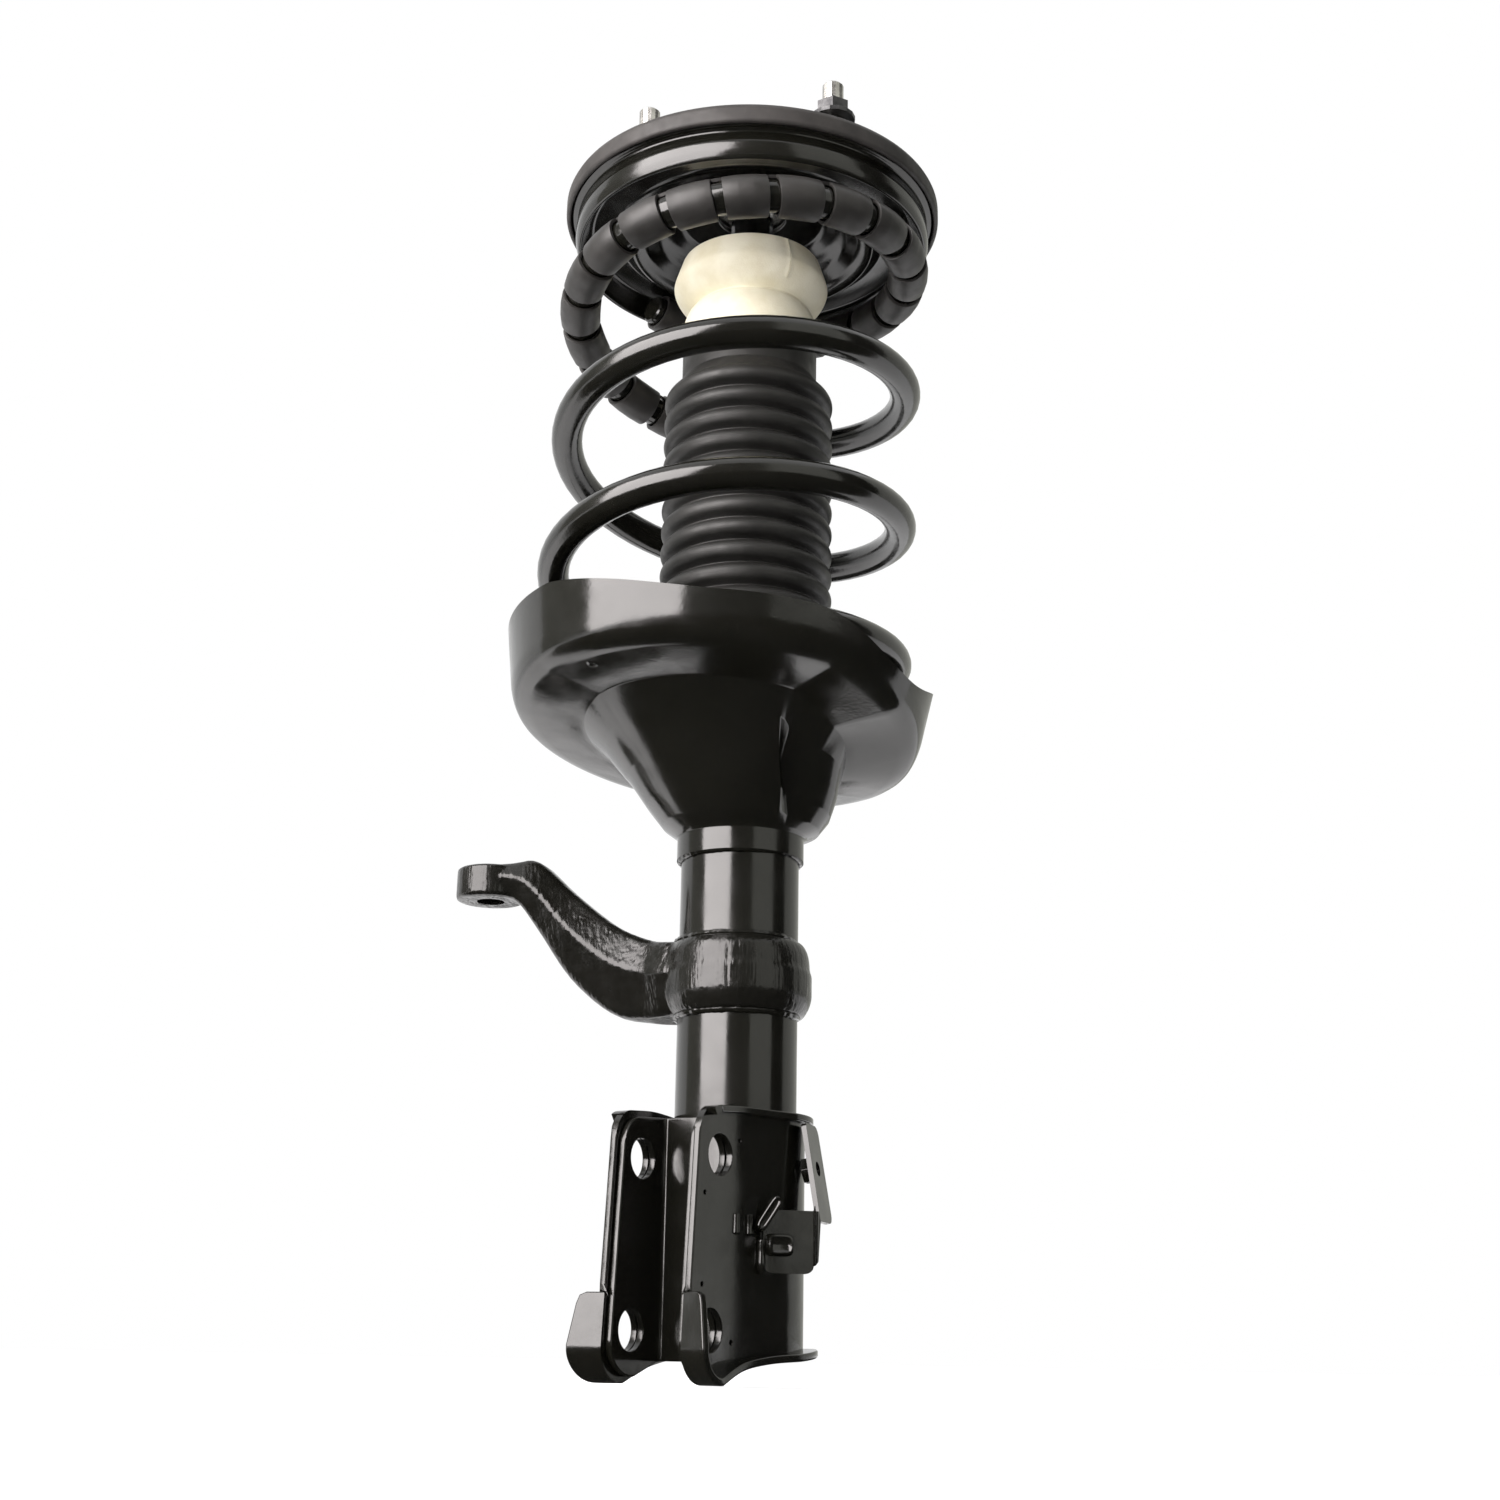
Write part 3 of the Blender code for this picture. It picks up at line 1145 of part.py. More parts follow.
def steering_arm(parent):
    """Forging: collar round the tube, deep tapering web and a flat eye for the tie rod."""
    bore = TUBE_RADIUS + CLEARANCE
    collar_bottom = ARM_COLLAR_TOP_Z - ARM_COLLAR_HEIGHT
    collar_middle = ARM_COLLAR_TOP_Z - ARM_COLLAR_HEIGHT / 2.0
    eye_middle = ARM_EYE_BOTTOM_Z + ARM_EYE_HEIGHT / 2.0
    rise = eye_middle - collar_middle
    chamfered = tube_profile(bore, ARM_COLLAR_RADIUS, collar_bottom, ARM_COLLAR_TOP_Z, ARM_COLLAR_CHAMFER)
    collar = [(0.0, ARM_COLLAR_TOP_Z), *chamfered[1:-1], (0.0, collar_bottom)]
    arm = turned("steering_arm", collar, "gloss_black", parent)
    reach = ARM_EYE_DISTANCE
    deep = ARM_COLLAR_HEIGHT
    swell = ARM_WEB_SWELL
    eye_width = 2.0 * ARM_EYE_RADIUS - ARM_EDGE_CHAMFER
    sections = [
        arm_section(0.10 * reach, collar_middle, deep - 2.0 * CLEARANCE, ARM_ROOT_WIDTH),
        arm_section(0.24 * reach, collar_middle, deep, ARM_SHOULDER_WIDTH),
        arm_section(0.34 * reach, collar_middle + 0.03 * rise, deep + 0.4 * swell, ARM_HEEL_WIDTH),
        arm_section(0.48 * reach, collar_middle + 0.15 * rise, deep + swell, ARM_WEB_WIDTH),
        arm_section(0.65 * reach, collar_middle + 0.48 * rise, deep + 0.9 * swell, ARM_NECK_WIDTH),
        arm_section(0.79 * reach, collar_middle + 0.87 * rise, deep - 0.3 * swell, ARM_NECK_WIDTH),
        arm_section(0.88 * reach, eye_middle, ARM_EYE_HEIGHT + 0.3 * swell, ARM_WEB_WIDTH),
        arm_section(reach, eye_middle, ARM_EYE_HEIGHT - 2.0 * CLEARANCE, eye_width),
    ]
    web = mesh_object("web", loops_to_mesh(sections, closed_path=False), None)
    eye_x = reach * math.cos(ARM_ANGLE)
    eye_y = reach * math.sin(ARM_ANGLE)
    chamfer = ARM_EDGE_CHAMFER / 2.0
    eye_profile = [
        (0.0, ARM_EYE_BOTTOM_Z + ARM_EYE_HEIGHT),
        (ARM_EYE_RADIUS - chamfer, ARM_EYE_BOTTOM_Z + ARM_EYE_HEIGHT),
        (ARM_EYE_RADIUS, ARM_EYE_BOTTOM_Z + ARM_EYE_HEIGHT - chamfer),
        (ARM_EYE_RADIUS, ARM_EYE_BOTTOM_Z + chamfer),
        (ARM_EYE_RADIUS - chamfer, ARM_EYE_BOTTOM_Z),
        (0.0, ARM_EYE_BOTTOM_Z),
    ]
    eye = move_mesh(turned("eye", eye_profile, None, None, SMALL_STEPS), eye_x, eye_y, 0.0)
    combine(arm, [web, eye], "UNION")
    low = collar_bottom - deep
    high = ARM_EYE_BOTTOM_Z + ARM_EYE_HEIGHT + deep
    collar_bore = cutter(bore, (0.0, 0.0, low), (0.0, 0.0, high), ROUND_STEPS)
    eye_hole = cutter(ARM_EYE_HOLE, (eye_x, eye_y, low), (eye_x, eye_y, high))
    return combine(arm, [collar_bore, eye_hole], "DIFFERENCE")


def pressed_sheet(name, skin, wall, finish, parent):
    """Thicken an open skin outwards; its columns go anticlockwise, each from lower to upper edge."""
    sheet = mesh_object(name, skin, finish, parent, closed=False)
    thicken = sheet.modifiers.new("wall", "SOLIDIFY")
    thicken.thickness = wall
    thicken.offset = -1.0
    thicken.use_even_offset = True
    apply_modifiers(sheet)
    return sheet


def ear_stations():
    """Shares of the way from an ear's tip to its root, close together round its corners."""
    return (0.0, 0.04, 0.13, 0.25, 0.45, 0.60, 0.78, 1.0)


def corner_drop(back, radius):
    """How far a rounded corner pulls an edge in, at a way back from the tip."""
    if back >= radius:
        return 0.0
    return radius - math.sqrt(radius**2 - (radius - back) ** 2)


def ear_column(face, tip, root, share, margin):
    """Levels and leaning places of one upright line of an ear, which is shorter at its top."""
    back = share * (tip - root)
    top = BRACKET_TOP_Z - EAR_TOP_DROP * (1.0 - share) - margin
    climb_back = max(share - EAR_LEVEL_SHARE, 0.0) / (1.0 - EAR_LEVEL_SHARE)
    drop = EAR_BOTTOM_DROP + (EAR_ROOT_DROP - EAR_BOTTOM_DROP) * climb_back
    bottom = BRACKET_BOTTOM_Z - drop + margin
    low = bottom + corner_drop(back, EAR_BOTTOM_CORNER)
    high = top - corner_drop(back, EAR_TOP_CORNER)
    places = []
    for z in (low, BRACKET_HOOK_Z, high):
        climb = (z - BRACKET_BOTTOM_Z) / (BRACKET_TOP_Z - BRACKET_BOTTOM_Z)
        lean = EAR_TOP_SETBACK * (1.0 - share) * min(max(climb, 0.0), 1.0)
        places.append(Vector((face, back - tip + lean, z)))
    return places


def add_lips(places, lower, upper):
    """One column of the bracket: lower lip, lower edge, hook level, upper edge, upper lip."""
    return [places[0] + lower, *places, places[-1] + upper]


def bracket_columns():
    """Columns round the outer bracket, from the right ear's tip round the tube to the left ear's."""
    columns = []
    for share in ear_stations():
        places = ear_column(BRACKET_INNER, EAR_REACH, BRACKET_EAR_ROOT, share, 0.0)
        width = BRACKET_HOOK_WIDTH + (BRACKET_LIP_LOWER - BRACKET_HOOK_WIDTH) * share
        hook = heading(-BRACKET_HOOK_TILT * (1.0 - share)) * width
        columns.append(add_lips(places, hook, heading(0.0) * BRACKET_LIP_UPPER))
    mirrored = [[Vector((-p.x, p.y, p.z)) for p in column] for column in columns]
    for i in range(BRACKET_WRAP_STEPS + 1):
        outward = heading(BRACKET_WRAP_ANGLE + i * BRACKET_WRAP_STEP)
        round_tube = min(i, BRACKET_WRAP_STEPS - i) * BRACKET_WRAP_STEP
        drop = 0.5 * EAR_ROOT_DROP * (1.0 - ease(round_tube / BRACKET_CLIMB_ANGLE))
        levels = (BRACKET_BOTTOM_Z - drop, BRACKET_HOOK_Z, BRACKET_TOP_Z)
        places = [outward * BRACKET_WRAP_RADIUS + Vector((0.0, 0.0, z)) for z in levels]
        columns.append(add_lips(places, outward * BRACKET_LIP_LOWER, outward * BRACKET_LIP_UPPER))
    return columns + mirrored[::-1]


def add_hooks(made, columns):
    """Turn the lower half of each ear's tip edge outwards, joined to the lower lip."""
    made.verts.ensure_lookup_table()
    per_column = len(columns[0])
    last = len(columns) - 1
    for index in (0, last):
        column = columns[index]
        corner = made.verts.new(column[2] + (column[0] - column[1]) * BRACKET_HOOK_TOP_SHARE)
        made.verts.ensure_lookup_table()
        lip, low, hook = [made.verts[index * per_column + k] for k in range(3)]
        face = (hook, low, lip, corner) if index == 0 else (lip, low, hook, corner)
        made.faces.new(face)


def trim_corner_lips(made, columns):
    """Take the upper lip off the columns that round the ears' upper corners."""
    made.verts.ensure_lookup_table()
    per_column = len(columns[0])
    back = [share * (EAR_REACH - BRACKET_EAR_ROOT) for share in ear_stations()]
    count = sum(way < EAR_TOP_CORNER for way in back)
    spare = [*range(count), *range(len(columns) - count, len(columns))]
    bmesh.ops.delete(made, geom=[made.verts[(i + 1) * per_column - 1] for i in spare], context="VERTS")


def ear_hole_cutters(reach):
    """Round cutters through both ears, at the two bolt heights."""
    made = []
    for share in (0.0, 1.0):
        y = -EAR_HOLE_REACH - share * EAR_HOLE_SLANT
        z = BRACKET_TOP_Z - EAR_HOLE_DROP - share * EAR_HOLE_SPACING
        made.append(cutter(EAR_HOLE_RADIUS, (-reach, y, z), (reach, y, z), BOLT_HOLE_STEPS))
    return made


def knuckle_bracket(parent):
    """Outer pressing: two ears with hooked tips, a wrap round the tube, and lips along its edges."""
    columns = bracket_columns()
    skin = loops_to_mesh(columns, closed_path=False, closed_loop=False)
    add_hooks(skin, columns)
    trim_corner_lips(skin, columns)
    bracket = pressed_sheet("knuckle_bracket", skin, BRACKET_WALL, "gloss_black", parent)
    return combine(bracket, ear_hole_cutters(2.0 * EAR_GAP), "DIFFERENCE")


def bracket_channel(parent):
    """Inner pressing: a web against the tube and two sides that line the ears."""
    tip = EAR_REACH - CHANNEL_SETBACK
    root = TUBE_RADIUS + CLEARANCE + CHANNEL_WALL
    columns = []
    for share in ear_stations():
        places = ear_column(EAR_GAP / 2.0, tip, root, share, CHANNEL_END_GAP)
        columns.append([places[0], places[-1]])
    mirrored = [[Vector((-p.x, p.y, p.z)) for p in column] for column in columns]
    skin = loops_to_mesh(columns + mirrored[::-1], closed_path=False, closed_loop=False)
    channel = pressed_sheet("bracket_channel", skin, CHANNEL_WALL, "gloss_black", parent)
    return combine(channel, ear_hole_cutters(2.0 * EAR_GAP), "DIFFERENCE")


def hose_foot():
    """Where the hose bracket meets the outer bracket, between an ear's root and the wrap."""
    root = Vector((BRACKET_INNER, -BRACKET_EAR_ROOT, 0.0))
    wrap = heading(BRACKET_WRAP_ANGLE) * BRACKET_WRAP_RADIUS
    along = (wrap - root).normalized()
    outward = Vector((along.y, -along.x, 0.0))
    return root.lerp(wrap, HOSE_FOOT_SHARE) + outward * (BRACKET_WALL + 2.0 * CLEARANCE)


def hose_tab():
    """Where the tab starts off the wrap, the way it runs, and the way up it, which leans to the tube."""
    foot = hose_foot()
    along = heading(HOSE_ANGLE)
    reach = BRACKET_WRAP_RADIUS + BRACKET_WALL + HOSE_STANDOFF
    lead = foot.dot(along)
    start = foot + along * (math.sqrt(reach**2 - foot.length_squared + lead**2) - lead)
    back = heading(HOSE_ANGLE + HOSE_TAB_BEND)
    inward = Vector((-back.y, back.x, 0.0))
    return start, back, Vector((0.0, 0.0, 1.0)) + inward * math.tan(HOSE_TAB_LEAN)


def hose_bracket(parent):
    """Small sheet bracket beside the wrap: a plate, and a tab bent back that rises above it."""
    foot = hose_foot()
    along = heading(HOSE_ANGLE)
    tab, back, up = hose_tab()
    top = HOSE_PLATE_TOP_Z
    bottom = top - HOSE_PLATE_HEIGHT
    rise = HOSE_TAB_HEIGHT
    overlap = HOSE_TAB_HEIGHT - HOSE_TAB_RISE
    plate_stations = [
        (foot, bottom + HOSE_CORNER, top - HOSE_CORNER),
        (foot + along * HOSE_CORNER, bottom, top),
        (tab - along * HOSE_CORNER, bottom, top),
        (tab, bottom + HOSE_CORNER, top),
    ]
    tab_stations = [
        (HOSE_TAB_EDGE, 0.0, overlap),
        (HOSE_TAB_EDGE + HOSE_TAB_SLANT, 0.0, rise),
        (HOSE_TAB_LENGTH, HOSE_CORNER, rise - HOSE_CORNER),
    ]
    columns = [[Vector((p.x, p.y, low)), Vector((p.x, p.y, high))] for p, low, high in plate_stations]
    hinge = tab + Vector((0.0, 0.0, top - overlap))
    for way, low, high in tab_stations:
        columns.append([hinge + back * way + up * low, hinge + back * way + up * high])
    skin = loops_to_mesh(columns, closed_path=False, closed_loop=False)
    plate = pressed_sheet("hose_bracket", skin, HOSE_WALL, "gloss_black", parent)
    centre = hinge + back * HOSE_HOLE_REACH + up * (rise - HOSE_HOLE_DROP)
    across = up.cross(back).normalized() * HOSE_TAB_LENGTH
    return combine(plate, [cutter(HOSE_HOLE_RADIUS, centre - across, centre + across)], "DIFFERENCE")


def weld_nut(parent):
    """Nut welded behind the hose bracket's tab, in line with its hole."""
    tab, back, up = hose_tab()
    inward = up.cross(back).normalized()
    hinge = tab + Vector((0.0, 0.0, HOSE_PLATE_TOP_Z + HOSE_TAB_RISE - HOSE_TAB_HEIGHT))
    face = hinge + back * HOSE_HOLE_REACH + up * (HOSE_TAB_HEIGHT - HOSE_HOLE_DROP) + inward * CLEARANCE
    nut = prism("weld_nut", circle(WELD_NUT_RADIUS, 6), 0.0, WELD_NUT_HEIGHT, "gloss_black", parent)
    hole = cutter(HOSE_HOLE_RADIUS, (0.0, 0.0, -WELD_NUT_HEIGHT), (0.0, 0.0, 2.0 * WELD_NUT_HEIGHT))
    combine(nut, [hole], "DIFFERENCE")
    nut.data.transform(inward.to_track_quat("Z", "Y").to_matrix().to_4x4())
    return move_mesh(nut, *face)


def build():
    clear_scene()
    frames = []
    for name in ("mount_frame", "steering_frame", "damper_frame"):
        frame = bpy.data.objects.new(name, None)
        bpy.context.scene.collection.objects.link(frame)
        frame.parent = frames[-1] if frames else None
        frames.append(frame)
    mount, steering, damper = frames
    top_mount_plate(mount)
    for index in range(STUD_COUNT):
        mount_stud(index, mount)
        stud_nut(index, mount)
    mount_bush(mount)
    bush_sleeve(mount)
    washer("upper_washer", UPPER_WASHER_RADIUS, SLEEVE_TOP_Z + CLEARANCE, mount)
    washer("lower_washer", LOWER_WASHER_RADIUS, ROD_SHOULDER_Z + CLEARANCE, mount)
    rod_nut(mount)
    bearing_race("bearing_upper_race", LOWER_RACE_TOP_Z + RACE_GAP, 1.0, mount)
    piston_rod(mount)
    shim_stack("rebound_shims", PISTON_TOP_Z + CLEARANCE, mount)
    piston(mount)
    piston_band(mount)
    shim_stack("compression_shims", piston_stack()[1], mount)
    piston_nut(mount)
    rebound_stop(mount)
    bump_stop(mount)
    bearing_race("bearing_lower_race", LOWER_RACE_TOP_Z, -1.0, steering)
    bearing_balls(steering)
    upper_spring_seat(steering)
    seat_seal(steering)
    line = spring_line()
    coil_spring(steering, line)
    spring_wrap(steering, line)
    dust_boot(steering)
    outer_tube(damper)
    tube_base(damper)
    tube_cap(damper)
    rod_seal(damper)
    rod_guide(damper)
    guide_bush(damper)
    inner_cylinder(damper)
    base_valve(damper)
    lower_spring_seat(damper)
    steering_arm(damper)
    knuckle_bracket(damper)
    bracket_channel(damper)
    hose_bracket(damper)
    weld_nut(damper)


build()
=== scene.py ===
"""Looks of the front suspension strut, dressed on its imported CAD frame.

The damper's axis is Z and outboard is -Y, as in the frame. The wound, moulded, pressed and forged
pieces are rebuilt here with finer curves, the other CAD pieces stay, some with worked edges, and every
surface has a procedural finish.
"""
import math

import bmesh
import bpy
from mathutils import Matrix, Vector, noise
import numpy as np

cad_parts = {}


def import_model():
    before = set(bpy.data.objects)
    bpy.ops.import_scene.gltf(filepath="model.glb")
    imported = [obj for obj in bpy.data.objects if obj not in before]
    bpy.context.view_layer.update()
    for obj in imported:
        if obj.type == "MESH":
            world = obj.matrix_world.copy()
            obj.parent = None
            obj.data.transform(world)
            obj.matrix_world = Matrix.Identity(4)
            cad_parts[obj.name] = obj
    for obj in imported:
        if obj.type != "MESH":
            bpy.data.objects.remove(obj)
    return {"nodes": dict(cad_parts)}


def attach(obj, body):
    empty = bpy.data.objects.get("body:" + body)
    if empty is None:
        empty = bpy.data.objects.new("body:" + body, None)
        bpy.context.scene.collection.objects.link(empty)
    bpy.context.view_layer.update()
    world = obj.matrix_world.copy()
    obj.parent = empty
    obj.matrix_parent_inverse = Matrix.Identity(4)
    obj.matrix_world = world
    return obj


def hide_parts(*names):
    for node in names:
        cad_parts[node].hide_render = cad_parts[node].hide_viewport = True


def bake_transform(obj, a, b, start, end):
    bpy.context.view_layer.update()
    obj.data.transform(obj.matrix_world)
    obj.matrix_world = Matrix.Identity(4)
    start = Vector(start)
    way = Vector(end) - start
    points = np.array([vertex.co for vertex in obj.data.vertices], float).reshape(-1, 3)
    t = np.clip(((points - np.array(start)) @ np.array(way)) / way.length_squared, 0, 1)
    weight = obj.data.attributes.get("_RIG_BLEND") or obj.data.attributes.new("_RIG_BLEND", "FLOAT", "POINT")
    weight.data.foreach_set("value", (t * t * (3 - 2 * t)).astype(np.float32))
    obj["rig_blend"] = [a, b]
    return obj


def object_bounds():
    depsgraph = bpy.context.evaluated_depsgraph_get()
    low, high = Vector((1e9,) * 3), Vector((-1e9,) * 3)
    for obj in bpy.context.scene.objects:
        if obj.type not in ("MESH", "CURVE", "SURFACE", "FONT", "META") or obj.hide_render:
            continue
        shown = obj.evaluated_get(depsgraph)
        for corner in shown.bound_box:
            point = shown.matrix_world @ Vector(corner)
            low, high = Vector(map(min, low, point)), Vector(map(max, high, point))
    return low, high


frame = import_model()
cad_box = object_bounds()
NODES = frame["nodes"]

MM = 0.001
DEG = math.pi / 180.0
TURN = 2.0 * math.pi
UP = Vector((0.0, 0.0, 1.0))

# Sizes of the CAD model, and finer ones that the photograph shows
CLEARANCE = 0.3 * MM
ROD_RADIUS = 10.0 * MM
TUBE_RADIUS = 25.5 * MM
TUBE_WALL = 2.5 * MM
TUBE_TOP_Z = -214.1 * MM
TUBE_BOTTOM_Z = -539.0 * MM
TUBE_EDGE = 0.8 * MM

WIRE_RADIUS = 7.0 * MM
WIRE_END_ROUND = 0.8 * MM
SPRING_RADIUS = 76.8 * MM
SPRING_TOP_RADIUS = 70.5 * MM
SPRING_TURNS = 4.28
SPRING_PITCH = 65.4 * MM
SPRING_PITCH_GROWTH = 1.2 * MM
SPRING_LOWER_PITCH = 34.0 * MM
SPRING_UPPER_PITCH = 29.0 * MM
SPRING_LOWER_EASE = (0.62, 0.92)
SPRING_UPPER_EASE = (0.73, 0.23)
SPRING_RADIUS_EASE = (0.45, 0.12)
SPRING_END_ANGLE = 65.0 * DEG
SPRING_BASE_Z = -282.4 * MM
SPRING_LOWER_OFFSET = 21.8 * MM
SPRING_UPPER_OFFSET = 2.5 * MM
LOWER_SEATED_TURNS = 0.5
UPPER_SEATED_TURNS = 0.3
STEP_TURNS = 0.14
STEP_MARGIN_TURNS = 0.025

WRAP_INNER = 7.5 * MM
WRAP_OUTER = 9.2 * MM
WRAP_WIDTH = 18.5 * MM
WRAP_PITCH = 23.0 * MM
WRAP_TURNS = 22
WRAP_END_GAP = 4.0 * MM
WRAP_LAY = 0.5 * MM
WRAP_SLANT = 0.05
WRAP_SLANT_SPREAD = 0.12
SPINE_ANGLE = 100.0 * DEG
SPINE_HALF_ANGLE = 24.0 * DEG
SPINE_INSET = 0.15 * MM

PAN_WALL = 2.8 * MM
PAN_RADIUS = 93.5 * MM
PAN_TAPER = 4.0 * MM
PAN_CORNER = 8.0 * MM
PAN_BEND = 4.5 * MM
PAN_FLOOR_INNER = 57.0 * MM
PAN_FLOOR_DISH = 3.0 * MM
RIM_LOW_ANGLE = 5.0 * DEG
RIM_LOW_HEIGHT = 12.0 * MM
RIM_FIRST_RISE = 14.0 * MM
RIM_FIRST_ANGLE = 38.0 * DEG
RIM_SECOND_RISE = 16.0 * MM
RIM_SECOND_START = 60.0 * DEG
RIM_SECOND_ANGLE = 70.0 * DEG
RIM_LEVEL_ANGLE = 112.0 * DEG
RIM_LEAST_WALL = 5.5 * MM
NECK_DROP = 42.6 * MM
NECK_COLLAR_HEIGHT = 10.0 * MM
NECK_MIDDLE_RADIUS = 43.0 * MM
NECK_LOWER_RADIUS = 33.5 * MM
NECK_LOBE_ANGLE = 42.0 * DEG
NECK_LOBE_BULGE = 5.0 * MM
NECK_LOBE_HALF_ANGLE = 60.0 * DEG
NECK_CREASE_ANGLE = -27.0 * DEG
NECK_FACET_ANGLE = 11.0 * DEG
NECK_VALLEY_ANGLE = 42.0 * DEG
NECK_VALLEY_DEPTH = 9.5 * MM
NECK_DENT_ANGLE = -77.0 * DEG
NECK_DENT_HALF_ANGLE = 14.0 * DEG
NECK_DENT_DEPTH = 0.9 * MM
COLLAR_WALL = 1.7 * MM
POCKET_RIDGE_ANGLE = -22.0 * DEG
POCKET_RAMP_ANGLE = 27.0 * DEG
POCKET_RETURN_ANGLE = 52.0 * DEG
POCKET_DEPTH = 8.0 * MM
DRAIN_PLACE = (-11.7 * MM, -95.2 * MM)
DRAIN_RADIUS = 1.7 * MM

SEAT_WALL = 2.4 * MM
SEAT_BEND = 2.2 * MM
SEAT_BORE = 15.5 * MM
SEAT_HUB_RADIUS = 35.0 * MM
SEAT_HUB_Z = -16.9 * MM
SEAT_RIDGE_RADIUS = 57.0 * MM
SEAT_RIDGE_Z = -35.0 * MM
SEAT_FLOOR_Z = -28.24 * MM
SEAT_BEAD_TOP_Z = -25.5 * MM
SEAT_LIP_RADIUS = 80.6 * MM
SEAT_LIP_Z = -37.5 * MM
SEAT_BEAD_RADIUS = 84.0 * MM
SEAT_RIM_RADIUS = 86.3 * MM
SEAT_RIM_Z = -16.0 * MM
SEAL_WALL = 2.2 * MM
SEAL_DEPTH = 9.0 * MM
SEAL_EDGE = 0.6 * MM

BUMP_TOP_Z = -43.7 * MM
BUMP_FACE_RADIUS = 32.5 * MM
BUMP_RADIUS = 36.3 * MM
BUMP_CHAMFER_DROP = 10.0 * MM
BUMP_WAIST_RADIUS = 27.2 * MM
BUMP_WAIST_DROP = 25.0 * MM
BUMP_LOBE_RADIUS = 31.5 * MM
BUMP_TAIL_RADIUS = 29.2 * MM
BUMP_TAIL_CHAMFER = 4.0 * MM
BUMP_EDGE = 0.7 * MM
MOULD_LINE_ANGLE = -27.0 * DEG
MOULD_LINE_DEPTH = 0.45 * MM
MOULD_LINE_STEP = 0.5 * DEG
MOULD_LINE_WAVER = 0.02
MOULD_LINE_WAVER_RATE = 90.0

BOOT_TOP_Z = -87.0 * MM
BOOT_COLLAR_HEIGHT = 19.0 * MM
BOOT_SHOULDER = 6.0 * MM
BOOT_WALL = 1.8 * MM
BOOT_RIBS = 13
BOOT_RIB_PITCH = 10.7 * MM
BOOT_CREST_RADIUS = 39.0 * MM
BOOT_ROOT_RADIUS = 34.8 * MM
BOOT_FOOT_HEIGHT = 8.0 * MM
BOOT_COLLAR_Z = BOOT_TOP_Z - BOOT_COLLAR_HEIGHT
BOOT_BELLOWS_Z = BOOT_COLLAR_Z - BOOT_SHOULDER
BOOT_FOOT_Z = BOOT_BELLOWS_Z - BOOT_RIBS * BOOT_RIB_PITCH

ARM_ANGLE = 195.7 * DEG
ARM_COLLAR_RADIUS = 31.5 * MM
ARM_COLLAR_TOP_Z = -371.0 * MM
ARM_COLLAR_HEIGHT = 32.0 * MM
ARM_COLLAR_SLOPE = 8.0 * MM
ARM_EYE_DISTANCE = 117.0 * MM
ARM_EYE_RADIUS = 15.5 * MM
ARM_EYE_HOLE = 6.2 * MM
ARM_EYE_BOTTOM_Z = -346.6 * MM
ARM_EYE_HEIGHT = 14.5 * MM
ARM_EYE_EDGE = 1.6 * MM
ARM_EDGE_CHAMFER = 2.0 * MM
ARM_ROOT_WIDTH = 48.0 * MM
ARM_SHOULDER_WIDTH = 40.0 * MM
ARM_HEEL_WIDTH = 30.0 * MM
ARM_WEB_WIDTH = 25.0 * MM
ARM_NECK_WIDTH = 23.0 * MM
ARM_WEB_SWELL = 7.0 * MM
ARM_COLLAR_FOOT = 2.0 * MM
ARM_SEAM_STEP = 0.7 * MM
BORE_ALLOWANCE = 3.0 * MM
EYE_HOLE_ALLOWANCE = 2.0 * MM

WELD_SWEEP = 0.97
WELD_STANDOFF = 0.4 * MM
WELD_RIPPLE = 0.10
WELD_RIPPLE_RATE = 150.0
WELD_WAVER = 0.30
WELD_WAVER_RATES = (9.0, 90.0)
WELD_END = 0.25
WELD_END_GROWTH = 8.0
WELD_FLATNESS = 0.95
PAN_WELD = 2.6 * MM
ARM_WELD = 3.2 * MM

EAR_GAP = 31.0 * MM
EAR_REACH = 63.5 * MM
EAR_TOP_SETBACK = 6.0 * MM
EAR_TOP_DROP = 2.0 * MM
EAR_TOP_CORNER = 11.0 * MM
EAR_BOTTOM_CORNER = 14.0 * MM
EAR_BOTTOM_DROP = 11.5 * MM
EAR_ROOT_DROP = 5.5 * MM
EAR_LEVEL_SHARE = 0.5
EAR_HOLE_RADIUS = 8.2 * MM
EAR_HOLE_REACH = 43.5 * MM
EAR_HOLE_SLANT = 4.5 * MM
EAR_HOLE_DROP = 20.0 * MM
EAR_HOLE_SPACING = 66.4 * MM
BRACKET_WALL = 3.0 * MM
BRACKET_TOP_Z = -444.5 * MM
BRACKET_BOTTOM_Z = -539.5 * MM
BRACKET_EAR_ROOT = 33.0 * MM
BRACKET_WRAP_ANGLE = -25.0 * DEG
BRACKET_CLIMB_ANGLE = 75.0 * DEG
BRACKET_LIP_LOWER = 9.0 * MM
BRACKET_LIP_UPPER = 6.5 * MM
BRACKET_HOOK_WIDTH = 14.2 * MM
BRACKET_HOOK_TOP_SHARE = 0.75
BRACKET_HOOK_TILT = 20.0 * DEG
BRACKET_HOOK_Z = -517.0 * MM
BRACKET_WRAP_RADIUS = 26.15 * MM
CHANNEL_WALL = 2.8 * MM
CHANNEL_SETBACK = 2.2 * MM
CHANNEL_END_GAP = 2.5 * MM
FOLD_ANGLE = 32.0 * DEG
SQUARE_ANGLE = 50.0 * DEG
LIP_START_ROOM = 9.0 * MM
FLANGE_BEND = 3.8 * MM
SHEET_BEND = 2.4 * MM
HOOK_RELIEF = 3.0 * MM
HOOK_SIDE_SHARE = 0.22
HOOK_PEAK_SHARE = 0.12
HOOK_INNER_SHARE = 0.30
SHEET_EDGE = 0.75 * MM
